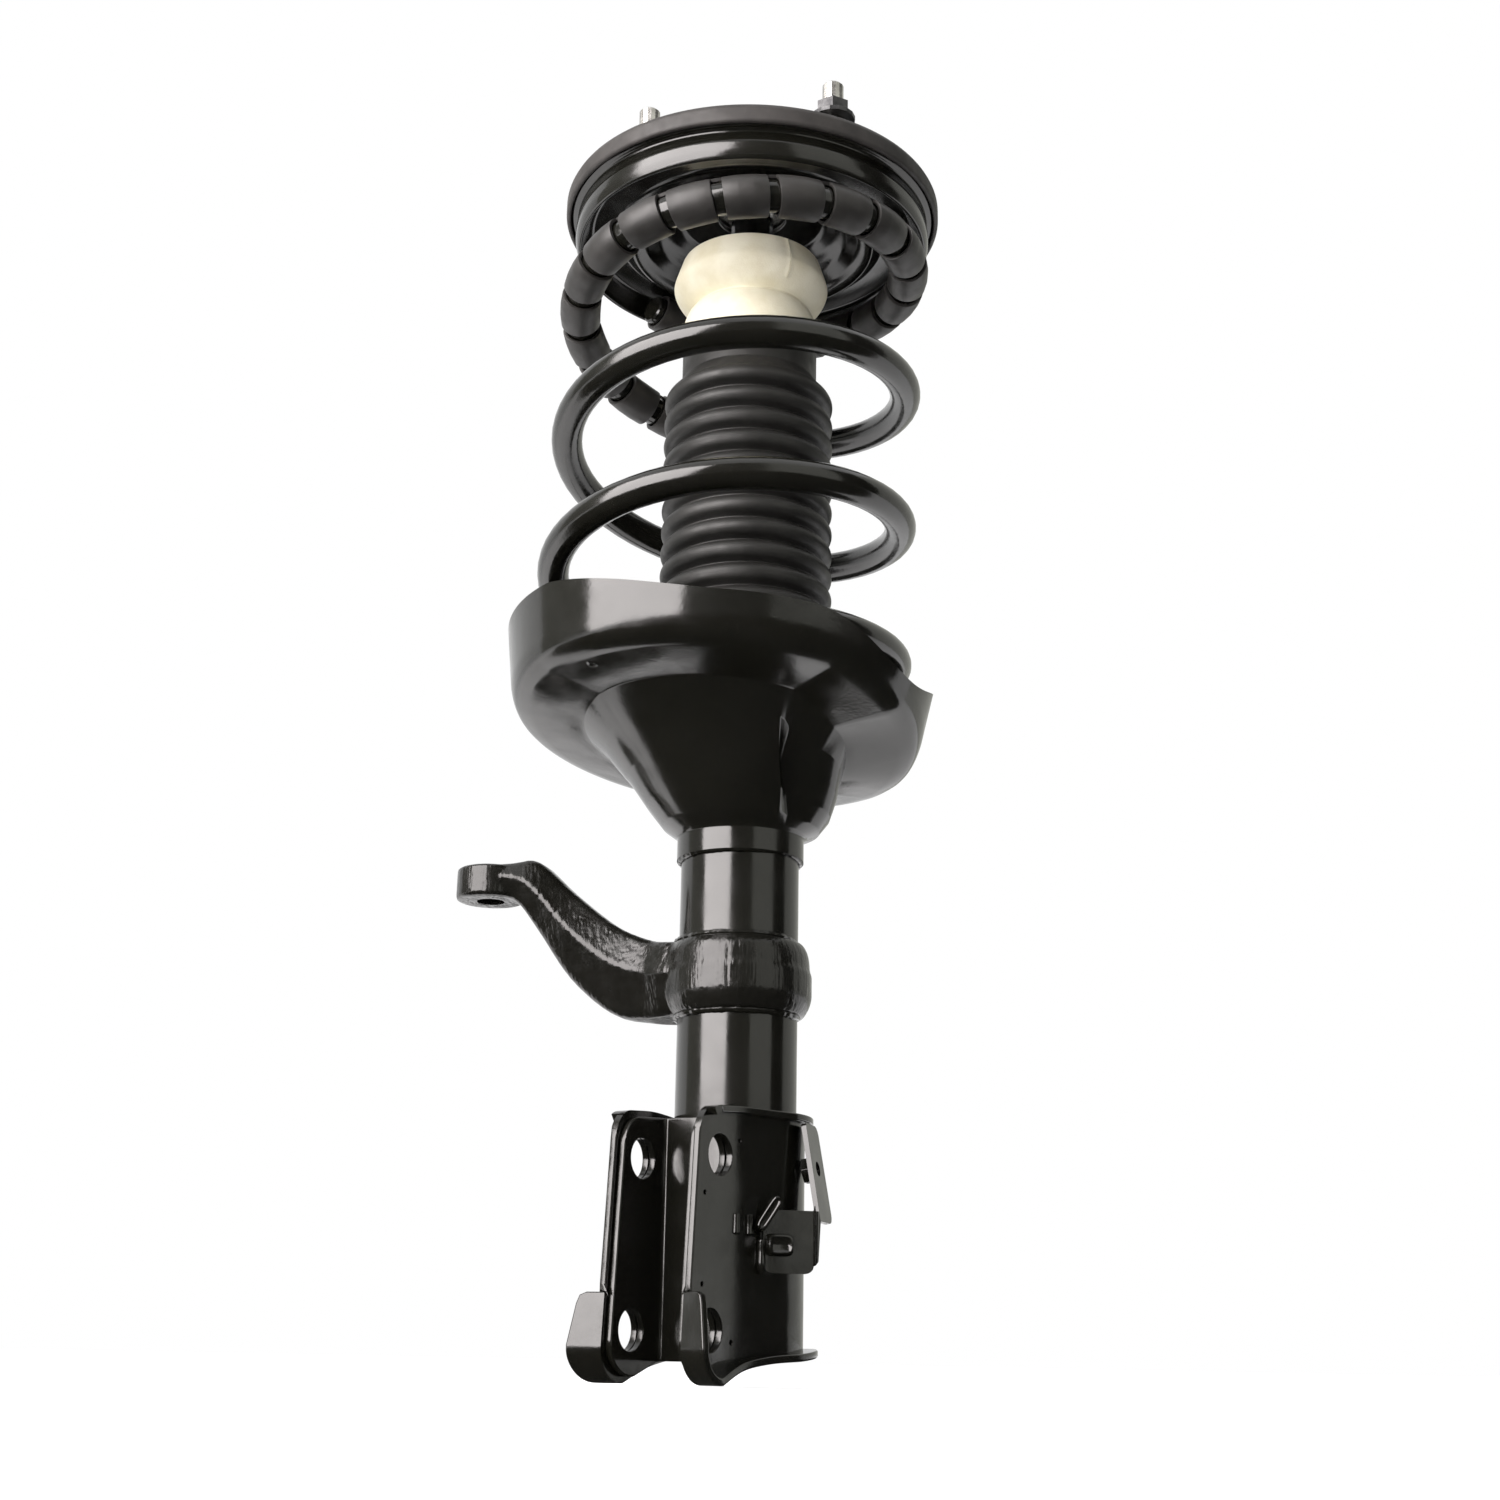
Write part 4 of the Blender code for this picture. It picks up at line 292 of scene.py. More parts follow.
HOSE_EDGE = 0.5 * MM
HOLE_RIM = 0.35 * MM
LIP_SETBACK = 5.0 * MM
DOT_RADIUS = 0.9 * MM
DOT_PLACES = (
    (53.8 * MM, -479.7 * MM),
    (31.0 * MM, -458.0 * MM),
    (54.4 * MM, -514.0 * MM),
    (34.1 * MM, -535.2 * MM),
)
HOSE_ANGLE = 45.0 * DEG
HOSE_WALL = 2.1 * MM
HOSE_FOOT_SHARE = 0.7
HOSE_STANDOFF = 11.6 * MM
HOSE_PLATE_TOP_Z = -484.0 * MM
HOSE_PLATE_HEIGHT = 24.5 * MM
HOSE_CORNER = 4.0 * MM
HOSE_TAB_LENGTH = 21.5 * MM
HOSE_TAB_EDGE = 3.0 * MM
HOSE_TAB_SLANT = 1.0 * MM
HOSE_TAB_RISE = 35.5 * MM
HOSE_TAB_HEIGHT = 39.5 * MM
HOSE_TAB_LEAN = 10.0 * DEG
HOSE_TAB_BEND = 60.0 * DEG
HOSE_HOLE_RADIUS = 3.0 * MM
HOSE_HOLE_REACH = 12.0 * MM
HOSE_HOLE_DROP = 18.0 * MM
HOSE_BOSS_PLACE = (6.4 * MM, -497.6 * MM)
HOSE_BOSS_SIZE = (11.5 * MM, 9.0 * MM)
HOSE_BOSS_HEIGHT = 4.6 * MM
HOSE_CLIP_PLACE = (1.9 * MM, -485.6 * MM)
HOSE_CLIP_SIZE = (5.0 * MM, 15.5 * MM)
HOSE_CLIP_HEIGHT = 4.4 * MM
HOSE_CLIP_TURN = -33.0 * DEG
PAD_SINK = 0.6 * MM
PAD_SQUARENESS = 0.4
PAD_PROFILE = ((1.0, 0.0), (0.94, 0.6), (0.82, 0.95), (0.7, 1.0), (0.5, 0.82), (0.2, 0.75))
BEAD_WAVER = 0.35
BEAD_WAVER_RATE = 150.0
BEAD_END = 0.35
BEAD_END_GROWTH = 0.25
FOOT_WELD = 3.6 * MM
FOOT_WELD_SETBACK = 0.4 * MM
FOOT_WELD_LIFT = 1.0 * MM
FOOT_WELD_HEIGHTS = (-495.0 * MM, -501.0 * MM, -509.0 * MM)
BEND_WELD = 3.4 * MM
BEND_WELDS = {"weld_hose_near": 0.40, "weld_hose_far": 0.08}
BEND_WELD_HEIGHTS = (-486.0 * MM, -490.0 * MM, -494.5 * MM)
BRACKET_INNER = EAR_GAP / 2.0 + CHANNEL_WALL + CLEARANCE

STUDS = ("mount_stud_1", "mount_stud_2", "mount_stud_3")
STUD_NUTS = ("stud_nut_1", "stud_nut_2", "stud_nut_3")
SHIMS = ("rebound_shims", "compression_shims")
BEARING = ("bearing_upper_race", "bearing_lower_race", "bearing_balls")
PLATE_EDGE = 0.8 * MM
NUT_EDGE = 0.5 * MM
WORKED_ANGLE = 28.0 * DEG
FLAT_ANGLE = 1.0 * DEG
SEAM_GAP = 0.01 * MM

# Fineness of the rebuilt pieces
LATHE_STEPS = 160
PAN_STEPS = 320
WIRE_SIDES = 24
WIRE_POINTS_PER_TURN = 64
EAR_COLUMNS = 26
EAR_CROWDING = 1.6
EAR_FLAT_COLUMNS = 21
BEND_COLUMNS = 10
BEND_PASSES = 12
BEND_RUN_OUT = 6
TUBE_COLUMNS = 72
HOLE_STEPS = 64
ARM_VOXEL = 1.0 * MM
BAND_SIDES = 40
DRAIN_SIDES = 32
EYE_STEPS = 64
WELD_STEPS = 300
WELD_SIDES = 8
BEAD_SIDES = 12
BEAD_STEPS = 12
PAD_SIDES = 40
WALL_STEPS = 12
HOSE_COLUMNS = 18
FOLD_STEPS = 5
EDGE_STEPS = 4
RIM_STEPS = 2
CORNER_SHARE = 0.45
SMOOTH_ANGLE = 38.0 * DEG

# Where most of a noise lies, from 0 to 1
NOISE_MIDDLE = (0.3, 0.7)

# Camera and studio
CAMERA_LENS = 48.0
CAMERA_SENSOR = 36.0
CAMERA_CLIP = 0.01
CAMERA_SHIFT = 7.7 / 1500.0
CAMERA_AZIMUTH = 33.0 * DEG
CAMERA_DISTANCE = 0.8451
CAMERA_Z = -0.542
CAMERA_PITCH = 17.0 * DEG
CAMERA_ROLL = 1.08 * DEG
FLOOR_GAP = 1.0 * MM
FLOOR_HALF_SIZE = 12.0
FLOOR_COLOUR = (0.80, 0.80, 0.80, 1.0)
FLOOR_GLOW = (0.90, 0.90, 0.90, 1.0)
FILL_COLOUR = (0.20, 0.20, 0.205, 1.0)
WHITE = (1.0, 1.0, 1.0, 1.0)
CARD_COLOUR = (1.0, 1.0, 0.92, 1.0)
KEY_COLOUR = (1.0, 0.95, 0.94)
SOFTBOX_DISTANCE = 1.5
WALL_RADIUS = 3.2
WALL_HEIGHT = 4.0


# Mesh helpers


def linked(name, data):
    """A new object in the scene."""
    made = bpy.data.objects.new(name, data)
    bpy.context.scene.collection.objects.link(made)
    return made


def as_object(name, made):
    """Turn a skin into an object, with its normals as they are."""
    mesh = bpy.data.meshes.new(name)
    made.to_mesh(mesh)
    made.free()
    return linked(name, mesh)


def closed_object(name, made):
    """Turn a closed skin into an object with its normals outward."""
    bmesh.ops.recalc_face_normals(made, faces=made.faces[:])
    return as_object(name, made)


def declare(piece, surface, node, body):
    """Give an object its finish, attach it to the body it rides on, and hide the CAD node that it stands for.
    """
    piece.data.materials.clear()
    piece.data.materials.append(surface)
    piece.data.shade_smooth()
    piece.data.set_sharp_from_angle(angle=SMOOTH_ANGLE)
    if body:
        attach(piece, body)
    if node:
        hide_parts(node)
    return piece


def finish_mesh(name, made, surface, node=None, body="damper"):
    """Turn a closed skin into a piece of the scene."""
    return declare(closed_object(name, made), surface, node, body)


def adopt(piece, surface, node):
    """Finish a worked object as a piece of the damper, with its flats shaded flat."""
    piece.data.name = piece.name
    declare(piece, surface, node, "damper")
    modify(piece, "flats", "WEIGHTED_NORMAL", keep_sharp=True)


def polar(radius, angle, z=0.0):
    """A point at a radius and an angle about Z."""
    return Vector((radius * math.cos(angle), radius * math.sin(angle), z))


def level(angle):
    """The level direction at an angle."""
    return polar(1.0, angle)


def full_turn(count):
    """Angles evenly spread round one turn."""
    return [TURN * k / count for k in range(count)]


def skin(loops, closed_path):
    """Skin a run of closed point loops; an open run gets end caps."""
    made = bmesh.new()
    rings = [[made.verts.new(point) for point in loop] for loop in loops]
    count = len(rings[0])
    following = rings[1:] + rings[:1] if closed_path else rings[1:]
    for here, there in zip(rings, following):
        for k in range(count):
            j = (k + 1) % count
            made.faces.new((here[k], here[j], there[j], there[k]))
    if not closed_path:
        made.faces.new(rings[0])
        made.faces.new(rings[-1])
    return made


def gathered(parts):
    """Put several skins into one, in their order."""
    whole = bmesh.new()
    for part in parts:
        mesh = bpy.data.meshes.new("part")
        part.to_mesh(mesh)
        part.free()
        whole.from_mesh(mesh)
        bpy.data.meshes.remove(mesh)
    return whole


def rounded(points, radius, steps=4, closed=True):
    """Round the corners of a line of points, each by no more than its sides allow."""
    vectors = [Vector(point) for point in points]
    count = len(vectors)
    line = []
    for i, corner in enumerate(vectors):
        if not closed and i in (0, count - 1):
            line.append(corner)
            continue
        before = vectors[i - 1] - corner
        after = vectors[(i + 1) % count] - corner
        reach = min(radius, CORNER_SHARE * before.length, CORNER_SHARE * after.length)
        start = corner + before.normalized() * reach
        end = corner + after.normalized() * reach
        for k in range(steps + 1):
            t = k / steps
            line.append(start * (1.0 - t) ** 2 + corner * (2.0 * t * (1.0 - t)) + end * t * t)
    return line


def curved(points, steps=4):
    """A smooth line through an open run of points."""
    vectors = [Vector(point) for point in points]
    line = []
    for i in range(len(vectors) - 1):
        a = vectors[max(i - 1, 0)]
        b = vectors[i]
        c = vectors[i + 1]
        d = vectors[min(i + 2, len(vectors) - 1)]
        for k in range(steps):
            t = k / steps
            bend = (2.0 * a - 5.0 * b + 4.0 * c - d) * t * t + (3.0 * (b - c) + d - a) * t ** 3
            line.append(b + 0.5 * ((c - a) * t + bend))
    line.append(vectors[-1])
    return line


def shaped(start, end, shares):
    """Points between two corners of a profile, each by its shares of the way out and of the way along."""
    out = end[0] - start[0]
    along = end[1] - start[1]
    return [(start[0] + a * out, start[1] + b * along) for a, b in shares]


def block(inner, outer, top, bottom):
    """Corners of a plain ring's profile."""
    return [(inner, top), (outer, top), (outer, bottom), (inner, bottom)]


def lathe(profile, steps=LATHE_STEPS):
    """Turn a closed (radius, z) profile about Z."""
    loops = [[polar(point[0], angle, point[1]) for point in profile] for angle in full_turn(steps)]
    return skin(loops, closed_path=True)


def modify(piece, name, kind, **settings):
    """Add a modifier with its settings."""
    made = piece.modifiers.new(name, kind)
    for setting, value in settings.items():
        setattr(made, setting, value)


def bake(piece):
    """Replace an object's mesh by what its modifiers make of it."""
    bpy.context.view_layer.update()
    evaluated = piece.evaluated_get(bpy.context.evaluated_depsgraph_get())
    piece.data = bpy.data.meshes.new_from_object(evaluated)
    piece.modifiers.clear()


def drill(piece, holes):
    """Cut round holes, each given by its radius and two points on its axis."""
    for radius, start, end in holes:
        axis = Vector(end) - Vector(start)
        turn = axis.to_track_quat("Z", "Y")
        rings = []
        for way in (0.0, axis.length):
            rings.append([Vector(start) + turn @ polar(radius, a, way) for a in full_turn(HOLE_STEPS)])
        tool = closed_object("drill", skin(rings, closed_path=False))
        modify(piece, "hole", "BOOLEAN", operation="DIFFERENCE", object=tool)
        bake(piece)
        bpy.data.objects.remove(tool, do_unlink=True)


def offset_line(points, distance):
    """Shift an open (r, z) line sideways by a sheet's thickness."""
    vectors = [Vector((point[0], point[1])) for point in points]
    shifted = []
    for i, here in enumerate(vectors):
        along = vectors[min(i + 1, len(vectors) - 1)] - vectors[max(i - 1, 0)]
        normal = Vector((-along.y, along.x)).normalized()
        shifted.append(here + normal * distance)
    return shifted


def ease(value):
    """Smooth step from 0 to 1."""
    value = min(max(value, 0.0), 1.0)
    return value * value * (3.0 - 2.0 * value)


def angle_between(a, b):
    """Signed angle from b to a, half a turn at most."""
    return (a - b + math.pi) % TURN - math.pi


# Finishes


def feed(tree, socket, value):
    """Link a shader socket to another one, or set its value."""
    if isinstance(value, bpy.types.NodeSocket):
        tree.links.new(value, socket)
    else:
        socket.default_value = value


def add_node(tree, kind, **inputs):
    """Add a shader node and feed its sockets by their names."""
    made = tree.nodes.new(kind)
    for name, value in inputs.items():
        feed(tree, made.inputs[name.replace("_", " ")], value)
    return made


def combined(tree, operation, first, second):
    """One number made of two."""
    made = tree.nodes.new("ShaderNodeMath")
    made.operation = operation
    feed(tree, made.inputs[0], first)
    feed(tree, made.inputs[1], second)
    return made.outputs["Value"]


class Surface:
    """A Principled material whose colour, roughness and bump come from textures in metres."""

    def __init__(self, name, **constants):
        self.material = bpy.data.materials.new(name)
        self.material.use_nodes = True
        self.tree = self.material.node_tree
        self.shader = self.tree.nodes["Principled BSDF"]
        self.place = self.tree.nodes.new("ShaderNodeTexCoord").outputs["Object"]
        self.normal = None
        for socket, value in constants.items():
            self.shader.inputs[socket].default_value = value

    def node(self, kind, **inputs):
        """Add a node to this material."""
        return add_node(self.tree, kind, **inputs)

    def noise(self, size, detail=3.0, stretch=(1.0, 1.0, 1.0)):
        """Noise with features of about the given size."""
        place = self.node("ShaderNodeMapping", Vector=self.place, Scale=stretch).outputs["Vector"]
        made = self.node("ShaderNodeTexNoise", Vector=place, Scale=1.0 / size, Detail=detail)
        return made.outputs["Fac"]

    def cells(self, size):
        """Distance from scattered points, for grains, pits and specks."""
        made = self.node("ShaderNodeTexVoronoi", Vector=self.place, Scale=1.0 / size)
        return made.outputs["Distance"]

    def ranged(self, source, low, high, start, end):
        """Map a factor's range from low to high to one from start to end."""
        made = self.node("ShaderNodeMapRange", Value=source, From_Min=low, From_Max=high)
        made.inputs["To Min"].default_value = start
        made.inputs["To Max"].default_value = end
        return made.outputs["Result"]

    def spread(self, source, start, end):
        """Map the middle of a noise, where most of it lies, to a range."""
        return self.ranged(source, *NOISE_MIDDLE, start, end)

    def colours(self, factor, first, second):
        """Mix two colours, either of which may be another mix."""
        made = self.node("ShaderNodeMix", Factor=factor)
        made.data_type = "RGBA"
        # Inputs 6 and 7 are the node's colours, and output 2 is their mix
        for socket, value in zip(made.inputs[6:8], (first, second)):
            feed(self.tree, socket, (*value, 1.0) if isinstance(value, tuple) else value)
        return made.outputs[2]

    def bump(self, source, depth):
        """Raise the surface by a texture, in metres, on top of any earlier bump."""
        made = self.node("ShaderNodeBump", Height=source, Distance=depth)
        if self.normal:
            self.tree.links.new(self.normal, made.inputs["Normal"])
        self.normal = made.outputs["Normal"]

    def done(self, colour, roughness):
        """Link what was made to the shader."""
        pairs = (("Base Color", colour), ("Roughness", roughness), ("Normal", self.normal))
        for socket, source in pairs:
            self.tree.links.new(source, self.shader.inputs[socket])
        return self.material


def dusted(surface, amount):
    """Sparse dust specks, as a factor from 0 to 1."""
    specks = surface.ranged(surface.cells(1.1 * MM), 0.05, 0.13, 1.0, 0.0)
    patches = surface.ranged(surface.noise(9.0 * MM, 4.0), 0.52, 0.70, 0.0, amount)
    return combined(surface.tree, "MULTIPLY", specks, patches)


def gloss_paint(name, peel=0.02, wave=0.10, dust=0.5):
    """Black stove enamel with orange peel, a slow wave and a little dust."""
    surface = Surface(name, Metallic=0.0, IOR=1.6)
    tone = surface.noise(35.0 * MM, 4.0)
    specks = dusted(surface, dust)
    colour = surface.colours(tone, (0.0033, 0.0033, 0.0023), (0.0080, 0.0079, 0.0060))
    colour = surface.colours(specks, colour, (0.07, 0.07, 0.07))
    rough = surface.spread(surface.noise(14.0 * MM, 5.0), 0.10, 0.22)
    rough = combined(surface.tree, "ADD", rough, surface.ranged(specks, 0.0, 1.0, 0.0, 0.4))
    surface.bump(surface.noise(30.0 * MM, 2.0), wave * MM)
    surface.bump(surface.noise(1.6 * MM, 2.0), peel * MM)
    return surface.done(colour, rough)


def forged_paint(name):
    """Paint over a forging: scale pits, shear marks up its sides and soft lumps."""
    surface = Surface(name, Metallic=0.0, IOR=1.5)
    tone = surface.noise(12.0 * MM, 5.0)
    colour = surface.colours(tone, (0.0032, 0.0032, 0.0024), (0.0088, 0.0086, 0.0070))
    rough = surface.spread(surface.noise(5.0 * MM, 5.0), 0.14, 0.28)
    surface.bump(surface.noise(18.0 * MM, 3.0), 0.40 * MM)
    surface.bump(surface.noise(2.4 * MM, 2.0, (1.0, 1.0, 0.10)), 0.30 * MM)
    surface.bump(surface.ranged(surface.cells(2.4 * MM), 0.0, 0.5, 0.0, 1.0), 0.05 * MM)
    return surface.done(colour, rough)


def moulded(name, dark, light, rough, dust=0.25):
    """Black rubber or plastic with fine grain and greyer worn patches."""
    surface = Surface(name, Metallic=0.0, IOR=1.5)
    patches = surface.noise(16.0 * MM, 6.0)
    colour = surface.colours(surface.ranged(patches, 0.35, 0.7, 0.0, 1.0), dark, light)
    specks = dusted(surface, dust)
    colour = surface.colours(specks, colour, (0.11, 0.105, 0.10))
    roughness = surface.spread(surface.noise(6.0 * MM, 5.0), *rough)
    surface.bump(surface.noise(0.35 * MM), 0.02 * MM)
    surface.bump(surface.noise(8.0 * MM), 0.12 * MM)
    return surface.done(colour, roughness)


def cream_foam(name):
    """Microcellular foam: cream, with a fine cell texture and faint stains."""
    surface = Surface(name, Metallic=0.0, IOR=1.45)
    stains = surface.ranged(surface.noise(14.0 * MM, 6.0), 0.42, 0.75, 0.0, 1.0)
    cells = surface.cells(0.7 * MM)
    colour = surface.colours(stains, (0.86, 0.83, 0.665), (0.74, 0.69, 0.50))
    colour = surface.colours(surface.ranged(cells, 0.0, 0.25, 0.35, 0.0), colour, (0.60, 0.55, 0.38))
    rough = surface.spread(surface.noise(4.0 * MM, 4.0), 0.58, 0.78)
    surface.bump(cells, 0.05 * MM)
    surface.bump(surface.noise(6.0 * MM, 4.0), 0.25 * MM)
    return surface.done(colour, rough)


def bare_metal(name, dark, light, rough, brush=(1.0, 1.0, 1.0)):
    """Plated or bare metal with fine working marks and duller patches."""
    surface = Surface(name, Metallic=1.0)
    patches = surface.ranged(surface.noise(7.0 * MM, 6.0), 0.35, 0.7, 0.0, 1.0)
    marks = surface.noise(0.5 * MM, 4.0, brush)
    colour = surface.colours(patches, light, dark)
    surface.bump(marks, 0.008 * MM)
    return surface.done(colour, surface.spread(marks, *rough))


# Spring and its wrap


def spring_pitch(turn):
    """Rise per turn: closer on both ends, and slowly growing between them."""
    free = SPRING_PITCH + SPRING_PITCH_GROWTH * turn
    start, stop = SPRING_LOWER_EASE
    lower = ease((turn - start) / (stop - start))
    pitch = SPRING_LOWER_PITCH + (free - SPRING_LOWER_PITCH) * lower
    far, near = SPRING_UPPER_EASE
    return pitch + (SPRING_UPPER_PITCH - pitch) * ease((turn - SPRING_TURNS + far) / (far - near))


def spring_height(turn):
    """Height along the spring's axis: the pitch added up from the lower end."""
    count = max(1, math.ceil(turn * WIRE_POINTS_PER_TURN))
    step = turn / count
    return step * sum(spring_pitch((i + 0.5) * step) for i in range(count))


def spring_radius(turn):
    """Winding radius, which draws in at the upper end."""
    far, near = SPRING_RADIUS_EASE
    share = ease((turn - SPRING_TURNS + far) / (far - near))
    return SPRING_RADIUS + (SPRING_TOP_RADIUS - SPRING_RADIUS) * share


SPRING_SLOPE = (SPRING_LOWER_OFFSET - SPRING_UPPER_OFFSET) / spring_height(SPRING_TURNS)
SPRING_AXIS = Vector((0.0, SPRING_SLOPE, 1.0)).normalized()
SPRING_CROSS = Vector((0.0, 1.0, -SPRING_SLOPE)).normalized()
SPRING_BASE = Vector((0.0, -SPRING_LOWER_OFFSET, SPRING_BASE_Z))


def spring_point(radius, angle, height):
    """A point given round the leaning spring axis."""
    across = Vector((radius * math.cos(angle), 0.0, 0.0)) + SPRING_CROSS * (radius * math.sin(angle))
    return SPRING_BASE + SPRING_AXIS * height + across


class WireLine:
    """The wire's centre line from its upper end down, measured along the wire."""

    def __init__(self):
        count = round(SPRING_TURNS * WIRE_POINTS_PER_TURN)
        self.turns = [SPRING_TURNS * (count - i) / count for i in range(count + 1)]
        self.points = []
        for turn in self.turns:
            angle = SPRING_END_ANGLE + TURN * turn
            self.points.append(spring_point(spring_radius(turn), angle, spring_height(turn)))
        self.ways = [0.0]
        for here, there in zip(self.points[:-1], self.points[1:]):
            self.ways.append(self.ways[-1] + (there - here).length)

    def at(self, way):
        """Point, direction and winding turn at a way along the wire."""
        i = 0
        while i < len(self.ways) - 2 and self.ways[i + 1] < way:
            i += 1
        share = (way - self.ways[i]) / (self.ways[i + 1] - self.ways[i])
        share = min(max(share, 0.0), 1.0)
        before = self.points[max(i - 1, 0)]
        after = self.points[min(i + 2, len(self.points) - 1)]
        ahead = (self.points[i + 1] - before).lerp(after - self.points[i], share).normalized()
        turn = self.turns[i] + (self.turns[i + 1] - self.turns[i]) * share
        return self.points[i].lerp(self.points[i + 1], share), ahead, turn

    def around(self, way, radius, angle):
        """A point beside the wire, and how far it follows the damper."""
        centre, ahead, turn = self.at(way)
        outward = ahead.cross(SPRING_AXIS).normalized()
        upward = outward.cross(ahead).normalized()
        point = centre + radius * (outward * math.cos(angle) + upward * math.sin(angle))
        return point, wire_weight(turn)

    def skin(self, loops, closed_path):
        """Skin loops of (way, radius, angle) along the wire; gives the weights of its points too."""
        placed = [[self.around(*place) for place in loop] for loop in loops]
        points = [[point for point, _ in loop] for loop in placed]
        return skin(points, closed_path), [weight for loop in placed for _, weight in loop]


def wire_weight(turn):
    """How far a turn follows the damper: 0 on the upper seat and 1 on the lower one."""
    upper = SPRING_TURNS - UPPER_SEATED_TURNS
    return min(max((upper - turn) / (upper - LOWER_SEATED_TURNS), 0.0), 1.0)


def follow_stroke(piece, weights):
    """Let a piece give between the upper seat and the damper, point by point."""
    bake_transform(piece, "upper_seat", "damper", start=(0.0, 0.0, BUMP_TOP_Z), end=(0.0, 0.0, SPRING_BASE_Z))
    piece.data.attributes["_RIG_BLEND"].data.foreach_set("value", weights)


def coil_spring(wire):
    """The wire as a smooth tube, with its cut ends slightly rounded."""
    total = wire.ways[-1]
    stations = [(0.0, WIRE_RADIUS - WIRE_END_ROUND), (WIRE_END_ROUND, WIRE_RADIUS)]
    stations += [(way, WIRE_RADIUS) for way in wire.ways[1:-1]]
    stations += [(total - WIRE_END_ROUND, WIRE_RADIUS), (total, WIRE_RADIUS - WIRE_END_ROUND)]
    loops = [[(way, radius, angle) for angle in full_turn(WIRE_SIDES)] for way, radius in stations]
    made, weights = wire.skin(loops, closed_path=False)
    surface = gloss_paint("spring_enamel", peel=0.03, wave=0.12, dust=0.7)
    piece = finish_mesh("spring_coil", made, surface, "coil_spring", None)
    follow_stroke(piece, weights)


def wrap_section():
    """Section of a band along the wire: (way, radius), with soft edges and a slight crown."""
    half = (WRAP_OUTER - WRAP_INNER) / 2.0
    crown = 0.25 * half
    corners = [
        (0.0, WRAP_INNER),
        (0.0, WRAP_OUTER),
        (0.33 * WRAP_WIDTH, WRAP_OUTER + crown),
        (0.67 * WRAP_WIDTH, WRAP_OUTER + crown),
        (WRAP_WIDTH, WRAP_OUTER),
        (WRAP_WIDTH, WRAP_INNER),
    ]
    return rounded(corners, 0.45 * half, 2)


def spring_wrap(wire):
    """Slit plastic sleeve on the top coil: a row of bands on one spine, unevenly set."""
    section = wrap_section()
    skins = []
    for i in range(WRAP_TURNS):
        lay = WRAP_LAY * noise.noise(Vector((0.9 * i, 0.0, 7.0)))
        slant = WRAP_SLANT + WRAP_SLANT_SPREAD * noise.noise(Vector((1.3 * i, 3.0, 1.0)))
        start = WRAP_END_GAP + WRAP_PITCH * i + lay
        loops = []
        for angle in full_turn(BAND_SIDES):
            lean = slant * math.sin(angle)
            loops.append([(start + side + lean * radius, radius, angle) for side, radius in section])
        skins.append(wire.skin(loops, closed_path=True))
    spine = [SPINE_ANGLE - SPINE_HALF_ANGLE, SPINE_ANGLE, SPINE_ANGLE + SPINE_HALF_ANGLE]
    outline = [(WRAP_OUTER - SPINE_INSET, angle) for angle in spine]
    outline += [(WRAP_INNER + SPINE_INSET, angle) for angle in spine[::-1]]
    end = WRAP_END_GAP + WRAP_PITCH * WRAP_TURNS
    ways = [way for way in wire.ways if WRAP_END_GAP <= way <= end]
    skins.append(wire.skin([[(way, *place) for place in outline] for way in ways], closed_path=False))
    made = gathered([made for made, _ in skins])
    dark = (0.0150, 0.0142, 0.0130)
    surface = moulded("wrap_plastic", dark, (0.0275, 0.0260, 0.0245), rough=(0.38, 0.52))
    piece = finish_mesh("wrap_bands", made, surface, "spring_wrap", None)
    follow_stroke(piece, [weight for _, weights in skins for weight in weights])


# Boot and bump stop


def dust_boot():
    """Blow-moulded boot: plain collar, rounded bellows and a foot that grips the tube."""
    collar = BUMP_TAIL_RADIUS + CLEARANCE + BOOT_WALL
    foot = TUBE_RADIUS + CLEARANCE
    bellows = [(BOOT_ROOT_RADIUS + 0.2 * (BOOT_CREST_RADIUS - BOOT_ROOT_RADIUS), BOOT_BELLOWS_Z)]
    rib = ((0.25, 0.22), (0.0, 0.50), (0.25, 0.78), (1.0, 1.0))
    for i in range(BOOT_RIBS):
        top = BOOT_BELLOWS_Z - i * BOOT_RIB_PITCH
        bellows += shaped((BOOT_CREST_RADIUS, top), (BOOT_ROOT_RADIUS, top - BOOT_RIB_PITCH), rib)
    rim = BOOT_WALL / 3.0
    outside = [(collar - rim, BOOT_TOP_Z), (collar, BOOT_TOP_Z - rim), (collar, BOOT_COLLAR_Z)]
    outside += curved(bellows, 4)
    end = BOOT_FOOT_Z - BOOT_FOOT_HEIGHT
    outside += [(foot + BOOT_WALL, BOOT_FOOT_Z - BOOT_WALL), (foot + BOOT_WALL, end)]
    bore = BOOT_ROOT_RADIUS - BOOT_WALL
    inside = [
        (foot, end),
        (foot, BOOT_FOOT_Z),
        (bore, BOOT_FOOT_Z + BOOT_WALL),
        (bore, BOOT_BELLOWS_Z - BOOT_WALL),
        (collar - BOOT_WALL, BOOT_COLLAR_Z - BOOT_WALL),
        (collar - BOOT_WALL, BOOT_TOP_Z),
    ]
    profile = rounded(outside + inside, 0.5 * MM, 2)
    dark = (0.0105, 0.0104, 0.0092)
    surface = moulded("boot_rubber", dark, (0.0175, 0.0172, 0.0158), rough=(0.42, 0.58))
    piece = finish_mesh("boot_bellows", lathe(profile), surface, "dust_boot", None)
    span = BOOT_COLLAR_Z - BOOT_FOOT_Z
    heights = [vertex.co.z for vertex in piece.data.vertices]
    follow_stroke(piece, [min(max((BOOT_COLLAR_Z - z) / span, 0.0), 1.0) for z in heights])


